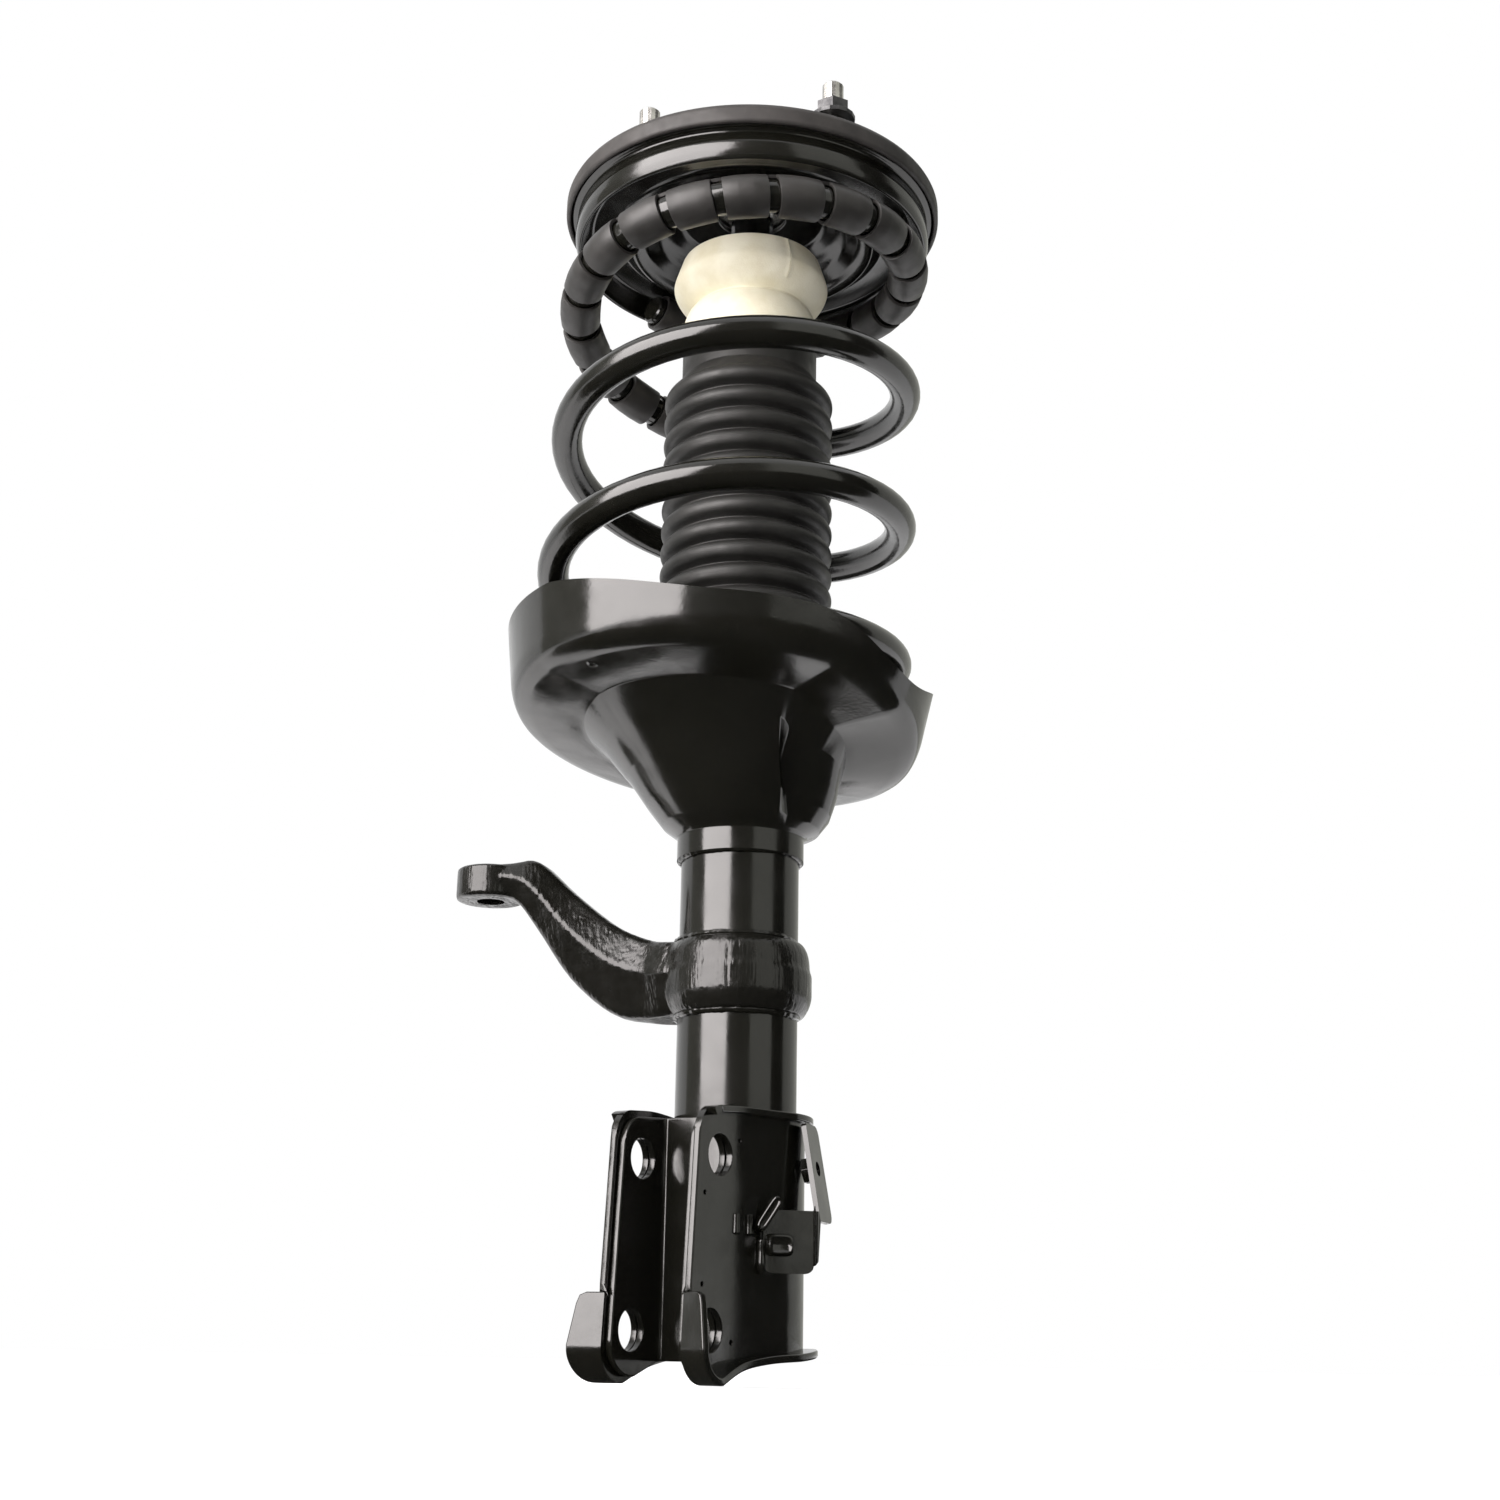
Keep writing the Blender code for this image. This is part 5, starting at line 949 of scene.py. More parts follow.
def bump_stop_line():
    """Outside of the bump stop from its top face down to its tail."""
    shoulder = BUMP_TOP_Z - BUMP_CHAMFER_DROP
    waist = BUMP_TOP_Z - BUMP_WAIST_DROP
    foot = 2.0 * waist - shoulder
    bulge = ((0.06, 0.0), (0.0, 0.20), (0.14, 0.45), (0.50, 0.75), (0.88, 0.93), (1.0, 1.0))
    lobe = ((0.55, 0.20), (1.0, 0.60))
    line = shaped((BUMP_RADIUS, shoulder), (BUMP_WAIST_RADIUS, waist), bulge)
    line += shaped((BUMP_WAIST_RADIUS, waist), (BUMP_LOBE_RADIUS, foot), lobe)
    line.append((BUMP_LOBE_RADIUS, BOOT_TOP_Z + 2.0 * CLEARANCE))
    return curved(line, 6)


def mould_angles():
    """Angles round the stop, closer at its mould line, each with the groove's depth there."""
    angles = []
    for angle in full_turn(LATHE_STEPS):
        if abs(angle_between(angle, MOULD_LINE_ANGLE)) > 5.0 * MOULD_LINE_STEP:
            angles.append((angle, 0.0))
    for step, share in ((-2.0, 0.0), (-1.0, -0.4), (0.0, 1.0), (1.0, -0.4), (2.0, 0.0)):
        angles.append(((MOULD_LINE_ANGLE + step * MOULD_LINE_STEP) % TURN, share * MOULD_LINE_DEPTH))
    return sorted(angles)


def bump_stop():
    """Foam stop round the rod, with a shallow mould line down its side."""
    bore = ROD_RADIUS + CLEARANCE
    line = [(bore, BUMP_TOP_Z), (BUMP_FACE_RADIUS, BUMP_TOP_Z), *bump_stop_line()]
    line += [
        (BUMP_TAIL_RADIUS, BOOT_TOP_Z + 2.0 * CLEARANCE),
        (BUMP_TAIL_RADIUS, BOOT_COLLAR_Z + BUMP_TAIL_CHAMFER),
        (BUMP_TAIL_RADIUS - BUMP_TAIL_CHAMFER, BOOT_COLLAR_Z),
        (bore, BOOT_COLLAR_Z),
    ]
    surface = cream_foam("foam_cream")
    profile = rounded(line, BUMP_EDGE, 3)
    loops = []
    for angle, depth in mould_angles():
        loop = []
        for r, z in profile:
            place = Vector((0.0, 4.0, MOULD_LINE_WAVER_RATE * z))
            waver = MOULD_LINE_WAVER * noise.noise(place) if depth else 0.0
            groove = depth if r > BUMP_FACE_RADIUS else 0.0
            loop.append(polar(r - groove, angle + waver, z))
        loops.append(loop)
    made = skin(loops, closed_path=True)
    piece = finish_mesh("bump_foam", made, surface, "bump_stop", "mount")


# Upper seat


def upper_seat():
    """Pressed dish: flat hub, cone, ridge, spring channel, rolled bead and an outer rim."""
    cone = ((0.0, 0.0), (0.25, 0.35), (0.45, 0.45), (0.72, 0.90), (1.0, 1.0))
    roll = ((0.0, 0.15), (0.2, 0.0), (0.6, 0.0), (1.0, 0.25), (1.0, 0.70), (0.7, 0.95))
    bead = SEAT_BEAD_RADIUS - SEAT_LIP_RADIUS
    step = SEAT_BEAD_TOP_Z + SEAT_WALL
    under = [(SEAT_BORE, SEAT_HUB_Z)]
    under += shaped((SEAT_HUB_RADIUS, SEAT_HUB_Z), (SEAT_RIDGE_RADIUS, SEAT_RIDGE_Z), cone)
    channel = (SEAT_RIDGE_RADIUS + 1.6 * bead, SEAT_LIP_RADIUS - 1.2 * bead)
    under += [(radius, SEAT_FLOOR_Z) for radius in channel]
    outer = shaped((SEAT_LIP_RADIUS, SEAT_LIP_Z), (SEAT_BEAD_RADIUS, SEAT_BEAD_TOP_Z), roll)
    outer += [
        (SEAT_BEAD_RADIUS - 0.3 * bead, step),
        (SEAT_RIM_RADIUS, step + 0.4 * SEAT_WALL),
        (SEAT_RIM_RADIUS, SEAT_RIM_Z),
        (SEAT_RIM_RADIUS - SEAT_WALL, SEAT_RIM_Z),
        (SEAT_RIM_RADIUS - SEAT_WALL, step + 1.6 * SEAT_WALL),
        (SEAT_LIP_RADIUS, step + SEAT_WALL),
    ]
    over = offset_line(under, SEAT_WALL)
    profile = rounded(under + outer + over[::-1], SEAT_BEND, 4)
    surface = gloss_paint("upper_seat_enamel", dust=0.6)
    finish_mesh("upper_dish", lathe(profile), surface, "upper_spring_seat", "upper_seat")


def seat_band():
    """Rubber band round the upper seat's rim, with a thin lip under it."""
    inner = SEAT_RIM_RADIUS + CLEARANCE
    outer = inner + SEAL_WALL
    under = SEAT_RIM_Z + CLEARANCE
    top = under + SEAL_WALL
    bottom = SEAT_RIM_Z - SEAL_DEPTH + SEAL_WALL
    profile = [
        (inner, bottom),
        (inner, under),
        (inner - SEAL_WALL, under),
        (inner - SEAL_WALL, top),
        (outer - SEAL_WALL / 2.0, top),
        (outer, top - SEAL_WALL),
        (outer, bottom + SEAL_WALL / 2.0),
        (outer - SEAL_WALL / 3.0, bottom),
    ]
    dark = (0.017, 0.015, 0.014)
    surface = moulded("band_rubber", dark, (0.034, 0.031, 0.029), rough=(0.50, 0.66), dust=0.6)
    made = lathe(rounded(profile, SEAL_EDGE, 3))
    finish_mesh("seat_band", made, surface, "seat_seal", "upper_seat")


# Lower seat


def pocket_drop(angle):
    """Extra depth of the pressing past the ridge on its underside."""
    away = angle_between(angle, POCKET_RIDGE_ANGLE)
    if away < 0.0:
        return 0.0
    fall = min(away / POCKET_RAMP_ANGLE, 1.0)
    return POCKET_DEPTH * fall * (1.0 - ease((away - POCKET_RAMP_ANGLE) / POCKET_RETURN_ANGLE))


def lower_floor(angle):
    """Top of the floor: it climbs with the wire, stays level, then steps back down."""
    turns = ((angle - SPRING_END_ANGLE) / TURN) % 1.0
    step_start = 1.0 - STEP_MARGIN_TURNS - STEP_TURNS
    back = ease((turns - step_start) / STEP_TURNS)
    share = min(turns, LOWER_SEATED_TURNS) * (1.0 - back)
    return spring_height(share) - WIRE_RADIUS - CLEARANCE - pocket_drop(angle)


def rim_height(angle, floor):
    """Height of the pan's rim: low on one side, rising in two steps on both ways round."""
    away = min(abs(angle_between(angle, RIM_LOW_ANGLE)), RIM_LEVEL_ANGLE)
    first = RIM_FIRST_RISE * ease(away / RIM_FIRST_ANGLE)
    second = RIM_SECOND_RISE * ease((away - RIM_SECOND_START) / RIM_SECOND_ANGLE)
    return max(RIM_LOW_HEIGHT + first + second, floor + RIM_LEAST_WALL)


def neck_shift(angle):
    """The neck swells into a lobe, beside a valley whose near wall starts at a crease."""
    lobe = 1.0 - ease(abs(angle_between(angle, NECK_LOBE_ANGLE)) / NECK_LOBE_HALF_ANGLE)
    away = angle_between(angle, NECK_CREASE_ANGLE)
    valley = 0.0
    if away > 0.0:
        valley = min(away / NECK_FACET_ANGLE, 1.0)
        valley *= 1.0 - ease((away - NECK_FACET_ANGLE) / NECK_VALLEY_ANGLE)
    return NECK_LOBE_BULGE * lobe - NECK_VALLEY_DEPTH * valley


def pan_rows(angle):
    """Outside of the pan at one angle: (radius, height, share centred on the damper)."""
    collar = TUBE_RADIUS + CLEARANCE + COLLAR_WALL
    collar_top = -NECK_DROP
    floor = lower_floor(angle) - PAN_WALL
    rim = rim_height(angle, floor)
    corner = min(PAN_CORNER, 0.8 * (rim - floor))
    wall = PAN_RADIUS - PAN_TAPER
    flare = PAN_TAPER * min(1.0, (rim - floor) / (3.0 * PAN_CORNER))
    inner = floor - PAN_FLOOR_DISH
    drop = inner - collar_top
    shift = neck_shift(angle)
    dent_share = abs(angle_between(angle, NECK_DENT_ANGLE)) / NECK_DENT_HALF_ANGLE
    dent = NECK_DENT_DEPTH * (1.0 - ease(dent_share))
    upper = (PAN_FLOOR_INNER + NECK_MIDDLE_RADIUS) / 2.0 - dent
    lower = (NECK_MIDDLE_RADIUS + NECK_LOWER_RADIUS) / 2.0
    return [
        (wall + flare, rim, 0.0),
        (wall, floor + corner, 0.0),
        (wall - 0.3 * corner, floor + 0.3 * corner, 0.0),
        (wall - PAN_CORNER, floor, 0.0),
        (PAN_FLOOR_INNER, inner, 0.0),
        (upper + 0.6 * shift, inner - 0.2 * drop, 0.2),
        (NECK_MIDDLE_RADIUS + shift, inner - 0.45 * drop, 0.5),
        (lower + 0.65 * shift, inner - 0.7 * drop, 0.8),
        (NECK_LOWER_RADIUS + 0.3 * shift, inner - 0.88 * drop, 0.95),
        (collar + PAN_WALL / 2.0, collar_top + PAN_WALL / 2.0, 1.0),
        (collar, collar_top, 1.0),
        (collar, collar_top - NECK_COLLAR_HEIGHT, 1.0),
    ]


def pan_point(r, angle, height, to_axis):
    """Upper rows lie round the spring's axis, lower rows round the damper's."""
    leaning = spring_point(r, angle, height)
    upright = polar(r, angle, SPRING_BASE_Z + height)
    return leaning.lerp(upright, to_axis)


def drain_hole(pan, surface):
    """Small extruded hole in the pan's floor: a raised lip round a dark pit."""
    below = Vector((*DRAIN_PLACE, SPRING_BASE_Z - NECK_DROP))
    bpy.context.view_layer.update()
    _, place, out, _ = pan.ray_cast(below, UP)
    r = DRAIN_RADIUS
    profile = [
        (1.9 * r, -0.3 * r),
        (1.4 * r, 0.12 * r),
        (1.1 * r, 0.35 * r),
        (0.8 * r, 0.3 * r),
        (0.6 * r, -0.3 * r),
    ]
    made = lathe(rounded(profile, 0.2 * r, 3), DRAIN_SIDES)
    bmesh.ops.rotate(made, matrix=out.to_track_quat("Z", "Y").to_matrix(), verts=made.verts[:])
    bmesh.ops.translate(made, vec=place, verts=made.verts[:])
    finish_mesh("drain_lip", made, surface)


def lower_seat():
    """Pressed pan with its helical floor and step, lobed neck and collar."""
    bore = TUBE_RADIUS + CLEARANCE
    loops = []
    for angle in full_turn(PAN_STEPS):
        line = rounded(pan_rows(angle), PAN_BEND, 4, closed=False)
        over = offset_line(line, -PAN_WALL)
        under = [pan_point(p[0], angle, p[1], p[2]) for p in line]
        inside = [pan_point(max(q[0], bore), angle, q[1], p[2]) for q, p in zip(over, line)]
        loops.append(under + inside[::-1])
    surface = gloss_paint("pan_enamel", peel=0.02, wave=0.25, dust=0.8)
    made = skin(loops, closed_path=True)
    pan = finish_mesh("lower_pan", made, surface, "lower_spring_seat")
    drain_hole(pan, surface)


# Tube and its welds


def outer_tube():
    """The damper's tube, with its ends slightly rounded."""
    profile = block(TUBE_RADIUS - TUBE_WALL, TUBE_RADIUS, TUBE_TOP_Z, TUBE_BOTTOM_Z)
    surface = gloss_paint("tube_enamel", peel=0.012, wave=0.05, dust=0.5)
    made = lathe(rounded(profile, TUBE_EDGE, 3))
    finish_mesh("damper_tube", made, surface, "outer_tube")


def weld_ring(name, z, width, start, surface):
    """A fillet weld laid nearly round the tube, with ripples and an uneven edge."""
    sweep = WELD_SWEEP * TURN
    steps = round(WELD_SWEEP * WELD_STEPS)
    loops = []
    for i in range(steps + 1):
        angle = start + sweep * i / steps
        taper = min(1.0, WELD_END_GROWTH * min(i, steps - i) / steps + WELD_END)
        waver = noise.noise(Vector((WELD_WAVER_RATES[0] * angle, WELD_WAVER_RATES[1] * z, 1.0)))
        ripple = 1.0 + WELD_RIPPLE * math.sin(WELD_RIPPLE_RATE * angle) + WELD_WAVER * waver
        half = 0.5 * width * taper * ripple
        loop = []
        for a in full_turn(WELD_SIDES):
            r = TUBE_RADIUS + WELD_STANDOFF + half * math.cos(a)
            loop.append(polar(r, angle, z + WELD_FLATNESS * half * math.sin(a)))
        loops.append(loop)
    finish_mesh(name, skin(loops, closed_path=False), surface)


def welds():
    """Welds under the pan's collar and on both ends of the arm's collar."""
    surface = gloss_paint("weld_enamel", peel=0.05, wave=0.3, dust=0.2)
    pan_end = SPRING_BASE_Z - NECK_DROP - NECK_COLLAR_HEIGHT
    arm_end = ARM_COLLAR_TOP_Z - ARM_COLLAR_HEIGHT
    weld_ring("weld_pan", pan_end, PAN_WELD, start=0.0, surface=surface)
    weld_ring("weld_arm_top", ARM_COLLAR_TOP_Z, ARM_WELD, start=0.4, surface=surface)
    weld_ring("weld_arm_bottom", arm_end, ARM_WELD, start=0.9, surface=surface)


# Steering arm


def arm_section(distance, middle_z, height, width):
    """Upright section of the arm, widest at the parting line of its forging."""
    across = Vector((-math.sin(ARM_ANGLE), math.cos(ARM_ANGLE), 0.0))
    half_w = width / 2.0
    half_h = height / 2.0
    c = ARM_EDGE_CHAMFER
    upper = 0.16 * height
    lower = 0.18 * height
    right = [
        (half_w - c - upper, half_h),
        (half_w - upper, half_h - c),
        (half_w, 0.06 * height),
        (half_w - lower, c - half_h),
        (half_w - c - lower, -half_h),
    ]
    outline = right + [(-x, z) for x, z in right[::-1]]
    centre = level(ARM_ANGLE) * distance + UP * middle_z
    return [centre + across * x + UP * z for x, z in outline]


def arm_web():
    """Deep tapering web of the arm, from inside the collar out to the eye."""
    collar_middle = ARM_COLLAR_TOP_Z - ARM_COLLAR_HEIGHT / 2.0
    eye_middle = ARM_EYE_BOTTOM_Z + ARM_EYE_HEIGHT / 2.0
    rise = eye_middle - collar_middle
    reach = ARM_EYE_DISTANCE
    deep = ARM_COLLAR_HEIGHT
    swell = ARM_WEB_SWELL
    eye_width = 2.0 * ARM_EYE_RADIUS - ARM_EDGE_CHAMFER
    stations = [
        (0.10, 0.0, deep - 2.0 * CLEARANCE, ARM_ROOT_WIDTH),
        (0.24, 0.0, deep, ARM_SHOULDER_WIDTH),
        (0.34, 0.03, deep + 0.4 * swell, ARM_HEEL_WIDTH),
        (0.48, 0.15, deep + swell, ARM_WEB_WIDTH),
        (0.65, 0.48, deep + 0.9 * swell, ARM_NECK_WIDTH),
        (0.79, 0.87, deep - 0.3 * swell, ARM_NECK_WIDTH),
        (0.88, 1.0, ARM_EYE_HEIGHT + 0.3 * swell, ARM_WEB_WIDTH),
        (1.00, 1.0, ARM_EYE_HEIGHT - 2.0 * CLEARANCE, eye_width),
    ]
    sections = []
    for share, lift, height, width in curved(stations, 4):
        sections.append(arm_section(share * reach, collar_middle + lift * rise, height, width))
    return skin(sections, closed_path=False)


def arm_collar():
    """Collar of the arm, which steps out under its seam and slopes in at both ends."""
    top = ARM_COLLAR_TOP_Z
    bottom = top - ARM_COLLAR_HEIGHT
    inner = TUBE_RADIUS - BORE_ALLOWANCE
    foot = TUBE_RADIUS + ARM_COLLAR_FOOT
    seam_z = bottom + 0.6 * ARM_COLLAR_HEIGHT
    c = ARM_COLLAR_SLOPE
    step = ARM_SEAM_STEP
    profile = [
        (inner, top),
        (foot, top),
        (ARM_COLLAR_RADIUS - 2.5 * step, top - 0.5 * c),
        (ARM_COLLAR_RADIUS - 1.4 * step, top - c),
        (ARM_COLLAR_RADIUS - 1.2 * step, seam_z + step),
        (ARM_COLLAR_RADIUS, seam_z - step),
        (ARM_COLLAR_RADIUS, bottom + c),
        (ARM_COLLAR_RADIUS - 2.0 * step, bottom + 0.5 * c),
        (foot, bottom),
        (inner, bottom),
    ]
    return lathe(rounded(profile, 2.0 * MM, 4))


def arm_eye(place):
    """Eye of the arm, where the tie rod's pin goes."""
    top = ARM_EYE_BOTTOM_Z + ARM_EYE_HEIGHT
    inner = ARM_EYE_HOLE - EYE_HOLE_ALLOWANCE
    profile = block(inner, ARM_EYE_RADIUS, top, ARM_EYE_BOTTOM_Z)
    eye = lathe(rounded(profile, ARM_EYE_EDGE), EYE_STEPS)
    bmesh.ops.translate(eye, vec=place, verts=eye.verts[:])
    return eye


def forged_arm():
    """One forging: collar round the tube, web and eye, run together with soft fillets."""
    eye_place = level(ARM_ANGLE) * ARM_EYE_DISTANCE
    shells = [arm_eye(eye_place), arm_web(), arm_collar()]
    arm = closed_object("forged_arm", gathered(shells))
    modify(arm, "joined", "REMESH", mode="VOXEL", voxel_size=ARM_VOXEL)
    modify(arm, "fillets", "SMOOTH", factor=0.5, iterations=4)
    bake(arm)
    low = UP * (ARM_COLLAR_TOP_Z - 2.0 * ARM_COLLAR_HEIGHT)
    high = UP * (ARM_EYE_BOTTOM_Z + ARM_EYE_HEIGHT + ARM_COLLAR_HEIGHT)
    bore = TUBE_RADIUS + CLEARANCE
    drill(arm, [(bore, low, high), (ARM_EYE_HOLE, eye_place + low, eye_place + high)])
    adopt(arm, forged_paint("arm_enamel"), "steering_arm")


# Knuckle bracket


def corner_drop(back, radius):
    """How far a rounded corner pulls an edge in, at a way back from the tip."""
    if back >= radius:
        return 0.0
    return radius - math.sqrt(radius**2 - (radius - back) ** 2)


def ear_column(face, tip, root, share, margin):
    """Lower edge, hook level and upper edge of one upright line of an ear."""
    back = share * (tip - root)
    climb_back = max(share - EAR_LEVEL_SHARE, 0.0) / (1.0 - EAR_LEVEL_SHARE)
    drop = EAR_BOTTOM_DROP + (EAR_ROOT_DROP - EAR_BOTTOM_DROP) * climb_back
    low = BRACKET_BOTTOM_Z - drop + margin + corner_drop(back, EAR_BOTTOM_CORNER)
    high = BRACKET_TOP_Z - EAR_TOP_DROP * (1.0 - share) - margin - corner_drop(back, EAR_TOP_CORNER)
    places = []
    for z in (low, BRACKET_HOOK_Z, high):
        climb = (z - BRACKET_BOTTOM_Z) / (BRACKET_TOP_Z - BRACKET_BOTTOM_Z)
        lean = EAR_TOP_SETBACK * (1.0 - share) * min(max(climb, 0.0), 1.0)
        places.append(Vector((face, back - tip + lean, z)))
    return places


def ear_shares():
    """Shares of the way from an ear's tip to its root, closer together at the tip."""
    return [(k / EAR_COLUMNS) ** EAR_CROWDING for k in range(EAR_COLUMNS + 1)]


def bracket_half():
    """Columns of half the outer bracket, from an ear's tip to the back of the tube."""
    columns = []
    for share in ear_shares():
        places = ear_column(BRACKET_INNER, EAR_REACH, BRACKET_EAR_ROOT, share, 0.0)
        width = BRACKET_HOOK_WIDTH + (BRACKET_LIP_LOWER - BRACKET_HOOK_WIDTH) * share
        lower = level(-BRACKET_HOOK_TILT * (1.0 - share)) * width
        columns.append([places[0] + lower, *places, places[2] + level(0.0) * BRACKET_LIP_UPPER])
    half_turn = math.pi / 2.0 - BRACKET_WRAP_ANGLE
    wrap = []
    for k in range(TUBE_COLUMNS // 2 + 1):
        turn = half_turn * 2.0 * k / TUBE_COLUMNS
        outward = level(BRACKET_WRAP_ANGLE + turn)
        drop = 0.5 * EAR_ROOT_DROP * (1.0 - ease(turn / BRACKET_CLIMB_ANGLE))
        heights = (BRACKET_BOTTOM_Z - drop, BRACKET_HOOK_Z, BRACKET_TOP_Z)
        places = [outward * BRACKET_WRAP_RADIUS + UP * z for z in heights]
        lower = outward * BRACKET_LIP_LOWER
        wrap.append([places[0] + lower, *places, places[2] + outward * BRACKET_LIP_UPPER])
    root = columns[-1]
    for k in range(1, BEND_COLUMNS):
        columns.append([a.lerp(b, k / BEND_COLUMNS) for a, b in zip(root, wrap[0])])
    return softened(columns + wrap)


def softened(columns):
    """Even out the bend between an ear's flat and the wrap round the tube."""
    for _ in range(BEND_PASSES):
        before = [column[:] for column in columns]
        for i in range(EAR_FLAT_COLUMNS + 1, EAR_COLUMNS + BEND_COLUMNS + BEND_RUN_OUT):
            trios = zip(before[i - 1], before[i], before[i + 1])
            columns[i] = [(a + b + c) / 3.0 for a, b, c in trios]
    return columns


def mirrored(columns):
    """The same columns on the other side of the bracket."""
    return [[Vector((-p.x, p.y, p.z)) for p in column] for column in columns]


def knuckle_holes():
    """Two bolt holes through both ears and the channel between them."""
    made = []
    reach = 2.0 * EAR_GAP
    for share in (0.0, 1.0):
        y = -EAR_HOLE_REACH - share * EAR_HOLE_SLANT
        z = BRACKET_TOP_Z - EAR_HOLE_DROP - share * EAR_HOLE_SPACING
        made.append((EAR_HOLE_RADIUS, (-reach, y, z), (reach, y, z)))
    return made


def open_skin(columns):
    """Skin columns of points into an open sheet, and keep its points by column."""
    made = bmesh.new()
    grid = [[made.verts.new(point) for point in column] for column in columns]
    for here, following in zip(grid[:-1], grid[1:]):
        for k in range(len(here) - 1):
            made.faces.new((here[k], here[k + 1], following[k + 1], following[k]))
    return made, grid


def mark_folds(made, left_sharp=()):
    """Mark the sharp folds of a skin for the press to bend, apart from those at a few points."""
    weight = made.edges.layers.float.new("bevel_weight_edge")
    for edge in made.edges:
        kept_sharp = any(vert in left_sharp for vert in edge.verts)
        if len(edge.link_faces) == 2 and edge.calc_face_angle(0.0) > FOLD_ANGLE and not kept_sharp:
            edge[weight] = 1.0


def outward_normals(made, middle):
    """Make the normals of an open skin point away from a place inside it."""
    bmesh.ops.recalc_face_normals(made, faces=made.faces[:])
    probe = max(made.faces, key=lambda face: face.calc_area())
    if probe.normal.dot(probe.calc_center_median() - middle) < 0.0:
        bmesh.ops.reverse_faces(made, faces=made.faces[:])


def round_edges(sheet, width, steps, clamp, kept_square=()):
    """Round every edge of a sheet that is still square, apart from those near a few places."""
    shell = bmesh.new()
    shell.from_mesh(sheet.data)
    layers = shell.edges.layers.float
    weight = layers.get("bevel_weight_edge") or layers.new("bevel_weight_edge")
    for edge in shell.edges:
        square = len(edge.link_faces) == 2 and edge.calc_face_angle(0.0) > SQUARE_ANGLE
        middle = (edge.verts[0].co + edge.verts[1].co) / 2.0
        near = any((middle - place).length < LIP_START_ROOM for place in kept_square)
        edge[weight] = 1.0 if square and not near else 0.0
    shell.to_mesh(sheet.data)
    shell.free()
    limits = {"limit_method": "WEIGHT", "use_clamp_overlap": clamp}
    modify(sheet, "rims", "BEVEL", width=width, segments=steps, **limits)
    bake(sheet)


def press(made, name, wall, bend, edge, holes, clamp=False, kept_square=()):
    """Bend, thicken and pierce an open skin, as a press does with sheet."""
    sheet = as_object(name, made)
    modify(sheet, "folds", "BEVEL", width=bend, segments=FOLD_STEPS, limit_method="WEIGHT")
    modify(sheet, "wall", "SOLIDIFY", thickness=wall, offset=1.0, use_even_offset=True)
    bake(sheet)
    round_edges(sheet, edge, EDGE_STEPS, clamp, kept_square)
    drill(sheet, holes)
    round_edges(sheet, HOLE_RIM, RIM_STEPS, clamp, kept_square)
    return sheet


def ear_dots():
    """Small drip holes in the near ear's sheet."""
    made = []
    for reach, z in DOT_PLACES:
        place = Vector((BRACKET_INNER, -reach, z))
        start = place - level(0.0) * BRACKET_WALL / 3.0
        made.append((DOT_RADIUS, start, place + level(0.0) * 3.0 * BRACKET_WALL))
    return made


def flat_ear(made, columns, root):
    """A flat ear with the flange under it, its hook, and the lip above, whose start it returns."""
    lips = [made.verts.new(points[0]) for points in columns] + [root[0]]
    lows = [made.verts.new(points[1]) for points in columns] + [root[1]]
    highs = [made.verts.new(points[3]) for points in columns] + [root[3]]
    tip = columns[0]
    hook = made.verts.new(tip[2])
    relief = made.verts.new(tip[2] + (tip[3] - tip[2]).normalized() * HOOK_RELIEF)
    made.faces.new((root[2], *lows[::-1], hook, relief, *highs))
    for i in range(len(columns)):
        made.faces.new((lows[i], lows[i + 1], lips[i + 1], lips[i]))
    top = tip[2] + (tip[0] - tip[1]) * BRACKET_HOOK_TOP_SHARE
    side = made.verts.new(top.lerp(tip[0], HOOK_SIDE_SHARE))
    peak = made.verts.new(top.lerp((tip[0] + tip[2]) / 2.0, HOOK_PEAK_SHARE))
    inner = made.verts.new(top.lerp(tip[2], HOOK_INNER_SHARE))
    made.faces.new((hook, lows[0], lips[0], side, peak, inner))
    start = sum(abs(points[3].y - tip[3].y) < LIP_SETBACK for points in columns)
    edges = [made.verts.new(points[4]) for points in columns[start:]] + [root[4]]
    folded = highs[start:]
    for i in range(len(edges) - 1):
        made.faces.new((folded[i], folded[i + 1], edges[i + 1], edges[i]))
    return folded[0]


def knuckle_bracket(surface):
    """Outer pressing: two ears with hooked tips, a wrap round the tube, and lips along its edges."""
    half = bracket_half()
    columns = half + mirrored(half)[-2::-1]
    made, grid = open_skin(columns[EAR_FLAT_COLUMNS:-EAR_FLAT_COLUMNS])
    lip_starts = [
        flat_ear(made, columns[:EAR_FLAT_COLUMNS], grid[0]),
        flat_ear(made, columns[: -EAR_FLAT_COLUMNS - 1 : -1], grid[-1]),
    ]
    outward_normals(made, Vector((0.0, -EAR_REACH / 2.0, BRACKET_HOOK_Z)))
    mark_folds(made, lip_starts)
    corners = [vert.co.copy() for vert in lip_starts]
    holes = knuckle_holes() + ear_dots()
    name = "bracket_shell"
    sheet = press(made, name, BRACKET_WALL, FLANGE_BEND, SHEET_EDGE, holes, kept_square=corners)
    adopt(sheet, surface, "knuckle_bracket")


